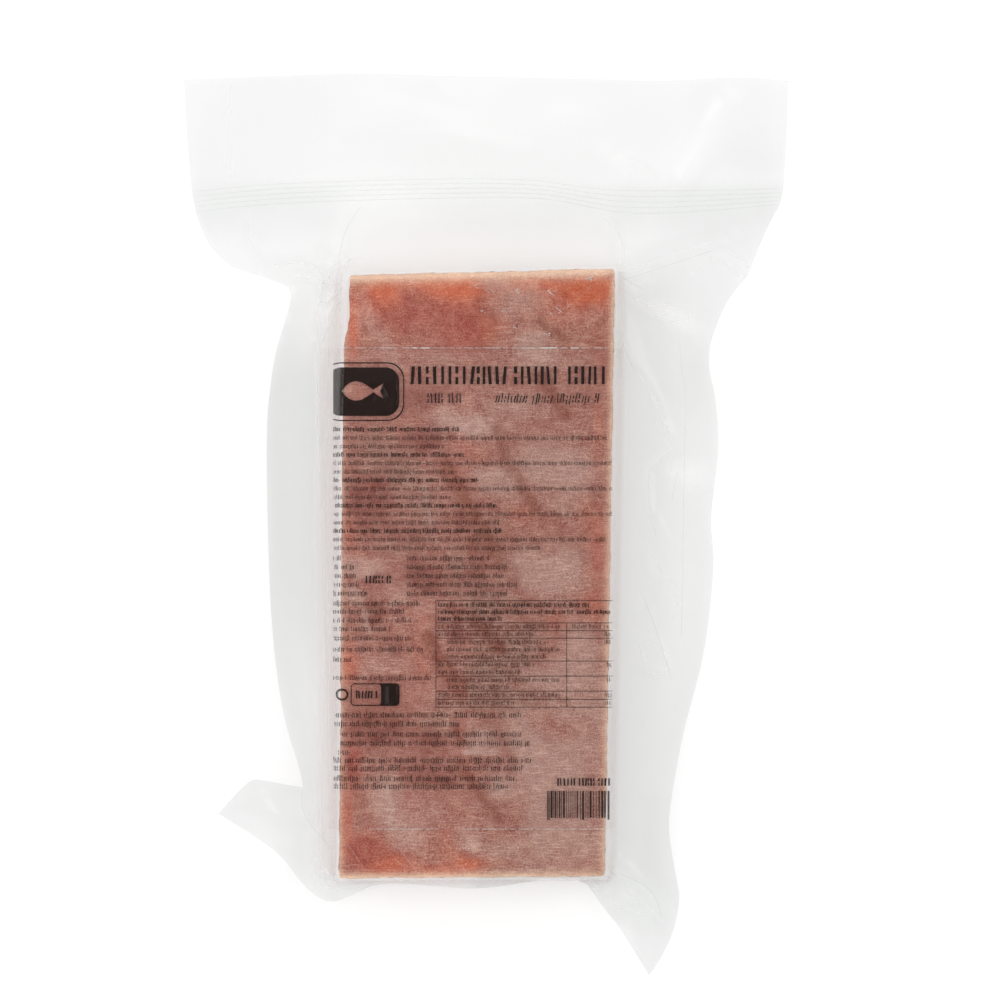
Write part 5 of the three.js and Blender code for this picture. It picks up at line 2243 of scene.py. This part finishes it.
@dataclass(frozen=True)
class FrozenTuna(Finish):
    """Raw tuna flesh, frozen and band-sawn: dull red fibres under streaks of fine frost."""

    name: str = "frozen tuna flesh, band-sawn"
    base: str = "#8f3720"
    looks: tuple[TissueLook, ...] = (
        TissueLook(Tissue.DEEP, "#93270d", 0.45, 1.08, 0.94, 0.72),
        TissueLook(Tissue.AMBER, "#be480e", 0.45, 1.08, 0.92, 0.82),
        TissueLook(Tissue.ASH, "#784432", 0.45, 1.20, 0.70),
        TissueLook(Tissue.DARK, "#741c06", 0.40, 1.00, 0.92, 0.95),
        TissueLook(Tissue.BAND, "#7e2e10", 0.50, 1.05, 0.92, 0.93),
    )
    rim: TissueLook = TissueLook(Tissue.RIM, "#ebc5aa", 0.28, 1.12, 0.92)
    veil: TissueLook = TissueLook(Tissue.VEIL, "#c4a79c", 0.50, 1.02, 0.33)
    rime: str = "#c4a79c"
    # Pitches of the grain, the blotches and the slow drift of the frost, in millimetres.
    grain: float = 0.42
    blotch: float = 3.4
    drift: float = 13.0
    # The frost's streaks and its weaker threads: how long each is across and along the block.
    streak: tuple[float, float] = (4.5, 0.48)
    thread: tuple[float, float] = (0.40, 3.2)
    thread_share: float = 0.62
    # How much of the flesh the streaks and the grain hide where they are thickest.
    streak_cover: float = 0.33
    grain_cover: float = 0.25
    # How far the streaks wander, and over what length.
    wander: tuple[float, float] = (1.6, 5.0)
    # How far the blotches, the grain and the streaks darken and lighten the flesh.
    shades: tuple[Point, ...] = ((0.96, 1.04), (0.90, 1.10), (0.94, 1.07))
    roughness: float = 0.55
    specular: float = 0.3
    # Noise tears the edges of the tissues, in blotches and in grains.
    tear: float = 0.35
    # In metres, how far the frost's streaks stand up.
    relief: float = 0.00015

    def wire(self, tree: Tree) -> Socket:
        """Wire the flesh: tissues by the mesh's attributes, broken up by frost and grain.

        Args:
            tree: the material's node tree.

        Returns:
            The shader of its surface.
        """
        place = add_node(tree, "TexCoord", result="Object")
        grain, blotch, drift = [
            add_node(
                tree, "TexNoise",
                {"Vector": place, "Scale": 1 / (pitch * METRES), "Detail": detail, "Roughness": 0.6},
            )
            for pitch, detail in ((self.grain, 2.0), (self.blotch, 5.0), (self.drift, 2.0))
        ]
        weave = self.weave(tree, place)
        colour, clear = linear(self.base), 0.0
        for look in self.looks:
            colour, amount = self.lay(tree, colour, look, blotch, grain)
            lack = add_node(tree, "Math", {0: amount, 1: look.clears}, operation="MULTIPLY")
            clear = add_node(tree, "Math", {0: clear, 1: lack}, operation="MAXIMUM")
        # Frost lies all over in streaks and grains, more where it drifted, less on the clear flesh.
        thickness = {"To Min": 0.55 * self.streak_cover, "To Max": self.streak_cover}
        drift = add_node(
            tree, "MapRange", {"Value": drift, "From Min": 0.35, "From Max": 0.65, **thickness}
        )
        swing = {"From Min": 0.3, "From Max": 0.7}
        fine = add_node(tree, "MapRange", {"Value": grain, **swing, "To Max": self.grain_cover})
        cover = add_node(tree, "Math", {0: drift, 1: weave, 2: fine}, operation="MULTIPLY_ADD")
        veiled = add_node(tree, "Math", {0: 1.0, 1: clear}, operation="SUBTRACT")
        cover = add_node(tree, "Math", {0: cover, 1: veiled}, operation="MULTIPLY")
        veil = self.amount(tree, self.veil, blotch, grain)
        cover = add_node(tree, "Math", {0: cover, 1: veil}, operation="ADD")
        shades = {MIX_SHARE: cover, MIX_A: colour, MIX_B: linear(self.rime)}
        colour = add_node(tree, "Mix", shades, **MIX_COLOURS)
        colour, _ = self.lay(tree, colour, self.rim, blotch, grain)
        frost = add_node(tree, "Attribute", result="Fac", attribute_name=Tissue.FROST.value)
        patch = add_node(tree, "Math", {0: frost, 1: blotch}, operation="ADD")
        patch = add_node(
            tree, "MapRange", {"Value": patch, "From Min": 0.70, "From Max": 1.20, "To Max": 0.8}
        )
        shades = {MIX_SHARE: patch, MIX_A: colour, MIX_B: linear(self.rime)}
        colour = add_node(tree, "Mix", shades, **MIX_COLOURS)
        for value, (low, high) in zip((blotch, grain, weave), self.shades):
            shade = add_node(
                tree, "MapRange", {"Value": value, **swing, "To Min": low, "To Max": high}
            )
            colour = add_node(tree, "VectorMath", {0: colour, "Scale": shade}, operation="SCALE")
        bump = add_node(tree, "Bump", {"Height": weave, "Strength": 0.4, "Distance": self.relief})
        dull = {"Roughness": self.roughness, "Specular IOR Level": self.specular}
        flesh = add_node(tree, "BsdfPrincipled", {"Base Color": colour, "Normal": bump, **dull})
        return flesh

    def weave(self, tree: Tree, place: Socket) -> Socket:
        """Add the frost's curling streaks, with weaker threads across them.

        Args:
            tree: the material's node tree.
            place: the point on the object.

        Returns:
            How strong the streaks are, from 0 to 1.
        """
        reach, length = self.wander
        bend = add_node(
            tree, "TexNoise", {"Vector": place, "Scale": 1 / (length * METRES), "Detail": 2.0}, "Color"
        )
        wander = {0: bend, 1: (reach * METRES,) * 3, 2: place}
        bent = add_node(tree, "VectorMath", wander, operation="MULTIPLY_ADD")
        sets = []
        for (wide, high), strength in ((self.streak, 1.0), (self.thread, self.thread_share)):
            scale = [1 / (side * METRES) for side in (wide, high, min(wide, high))]
            stretched = add_node(tree, "Mapping", {"Vector": bent, "Scale": scale})
            noise = add_node(tree, "TexNoise", {"Vector": stretched, "Scale": 1.0, "Detail": 3.0})
            sharp = {"From Min": 0.46, "From Max": 0.66, "To Max": strength}
            sets.append(add_node(tree, "MapRange", {"Value": noise, **sharp}))
        return add_node(tree, "Math", {0: sets[0], 1: sets[1]}, operation="MAXIMUM")

    def amount(self, tree: Tree, look: TissueLook, blotch: Socket, grain: Socket) -> Socket:
        """Add how much of one tissue shows at each point.

        Args:
            tree: the material's node tree.
            look: the tissue and how it shows.
            blotch, grain: noise that gives each patch its torn, fibrous edge.

        Returns:
            The amount, up to the look's own.
        """
        share = add_node(tree, "Attribute", result="Fac", attribute_name=look.tissue.value)
        for noise in (blotch, grain):
            torn = {0: noise, 1: self.tear, 2: share}
            share = add_node(tree, "Math", torn, operation="MULTIPLY_ADD")
        ends = {"From Min": look.start, "From Max": look.end, "To Max": look.amount}
        return add_node(tree, "MapRange", {"Value": share, **ends})

    def lay(
        self, tree: Tree, colour: Colour | Socket, look: TissueLook, blotch: Socket, grain: Socket
    ) -> tuple[Socket, Socket]:
        """Lay one tissue over a colour.

        Args:
            tree: the material's node tree.
            colour: what it lies on.
            look: the tissue and how it shows.
            blotch, grain: noise that tears its edges.

        Returns:
            The colour with the tissue on it, and how much of it shows.
        """
        amount = self.amount(tree, look, blotch, grain)
        shades = {MIX_SHARE: amount, MIX_A: colour, MIX_B: linear(look.colour)}
        return add_node(tree, "Mix", shades, **MIX_COLOURS), amount


@dataclass(frozen=True)
class LitTable(Finish):
    """Opal acrylic, cast and lit from below: the pale floor, where the pack throws hardly a shadow."""

    name: str = "opal acrylic sheet, cast"
    colour: str = "#c3c3c3"
    glow: float = 0.46

    def wire(self, tree: Tree) -> Socket:
        """Wire the table: matt white that also shines a little.

        Args:
            tree: the material's node tree.

        Returns:
            The shader of its surface.
        """
        matt = add_node(tree, "BsdfDiffuse", {"Color": linear(self.colour)})
        shine = add_node(tree, "Emission", {"Color": linear(WHITE), "Strength": self.glow})
        return add_node(tree, "AddShader", {0: matt, 1: shine})


@dataclass(frozen=True)
class SoftLight:
    """One large area light, aimed at the middle of the pack; places and sides in metres."""

    name: str
    at: Spot
    side: float
    power: float


@dataclass
class Studio:
    """A white floor, soft lights low on all sides and a camera straight above."""

    floor_side: float = 14.0
    floor_drop: float = 0.2
    world: float = 0.70
    aim: Spot = (0.0, 0.0, 0.01)
    # The frame shows 294.7 mm of the table, a little right of and above the pack's origin.
    view_centre: Point = (4.13, 7.07)
    view_width: float = 294.7
    camera_height: float = 3.2
    lights: tuple[SoftLight, ...] = (
        SoftLight("left", (-0.95, 0.10, 0.90), 0.60, 3.6),
        SoftLight("right", (0.95, 0.20, 0.95), 0.60, 2.9),
        SoftLight("mouth", (0.25, 1.15, 0.85), 0.70, 1.8),
        SoftLight("hem", (-0.20, -1.15, 1.00), 0.70, 2.2),
        SoftLight("overhead", (-0.18, 0.42, 1.60), 0.70, 2.2),
    )

    def build(self, table: Material) -> None:
        """Make the floor, the lights, the world and the camera.

        Args:
            table: the floor's material.
        """
        half = self.floor_side / 2 / METRES
        corners = [(-half, -half), (half, -half), (half, half), (-half, half)]
        corners = [(x, y, -self.floor_drop) for x, y in corners]
        floor = make_piece("floor", corners, [[0, 1, 2, 3]], table)
        for light in self.lights:
            self.add_light(light)
        world = bpy.data.worlds.new("studio")
        world.use_nodes = True
        sky = world.node_tree.nodes["Background"].inputs
        sky["Color"].default_value, sky["Strength"].default_value = linear(WHITE), self.world
        bpy.context.scene.world = world
        self.add_camera()

    def add_light(self, light: SoftLight) -> None:
        """Make one area light that faces the pack.

        Args:
            light: where it is and how strong.
        """
        data = bpy.data.lights.new(light.name, "AREA")
        data.shape, data.size, data.energy = "SQUARE", light.side, light.power
        lamp = bpy.data.objects.new(light.name, data)
        lamp.location = light.at
        aimed = Vector(self.aim) - Vector(light.at)
        lamp.rotation_euler = aimed.to_track_quat("-Z", "Y").to_euler()
        lamp.visible_camera = False
        bpy.context.scene.collection.objects.link(lamp)

    def add_camera(self) -> None:
        """Make the camera, far above the pack with a long lens, so that nothing splays."""
        data = bpy.data.cameras.new("camera")
        data.sensor_width = 36.0
        data.lens = data.sensor_width * self.camera_height / (self.view_width * METRES)
        camera = bpy.data.objects.new("camera", data)
        x, y = self.view_centre
        camera.location = (x * METRES, y * METRES, self.camera_height)
        bpy.context.scene.collection.objects.link(camera)
        bpy.context.scene.camera = camera


def main() -> None:
    """Build the pack and its studio."""
    logging.basicConfig(level=logging.INFO, format="%(name)s %(message)s")
    scene = bpy.context.scene
    scene.view_settings.view_transform = "Standard"
    # A look along the skirt passes many see-through walls.
    scene.cycles.transparent_max_bounces = 32
    Studio().build(LitTable().make())

    shape = LoinShape()
    pouch = Pouch(shape)
    label = Label(pouch)
    stand_for(Loin(shape).build(FrozenTuna().make()), "loin", "vacuum_bag")
    crumbs = FrostAndPaintedHighlight("ice crumbs, freezer-grown", "#efe6e2", 0.66)
    stand_for(IceFlakes(pouch).build(crumbs.make()), "loin")
    stand_for(pouch.build(VacuumFilm().make()), "film", "vacuum_bag")
    crests = CrestLines(pouch)
    # White crease lines, whitening and painted highlight; grey fold lines, double film and painted
    # shade.
    white = FrostAndPaintedHighlight("film crease, stress-whitened", "#fdfdfd", 0.34, 0.0)
    stand_for(crests.build("whitened_creases", False, white.make()), "film")
    stand_for(crests.build("doubled_folds", True, DoubleFilmShade().make()), "film")
    stand_for(label.build(LabelFilm().make()), "label_film", "label")
    # The label's cut ends: dried adhesive, white also as the edge's painted highlight.
    adhesive = FrostAndPaintedHighlight("label edge, dried adhesive and painted highlight", "#f2efec", 0.74)
    stand_for(label.build_edges(adhesive.make()), "label_film")
    stand_for(Print(label).build(PrintedInk().make()), "ink")


if __name__ == "__main__":
    main()
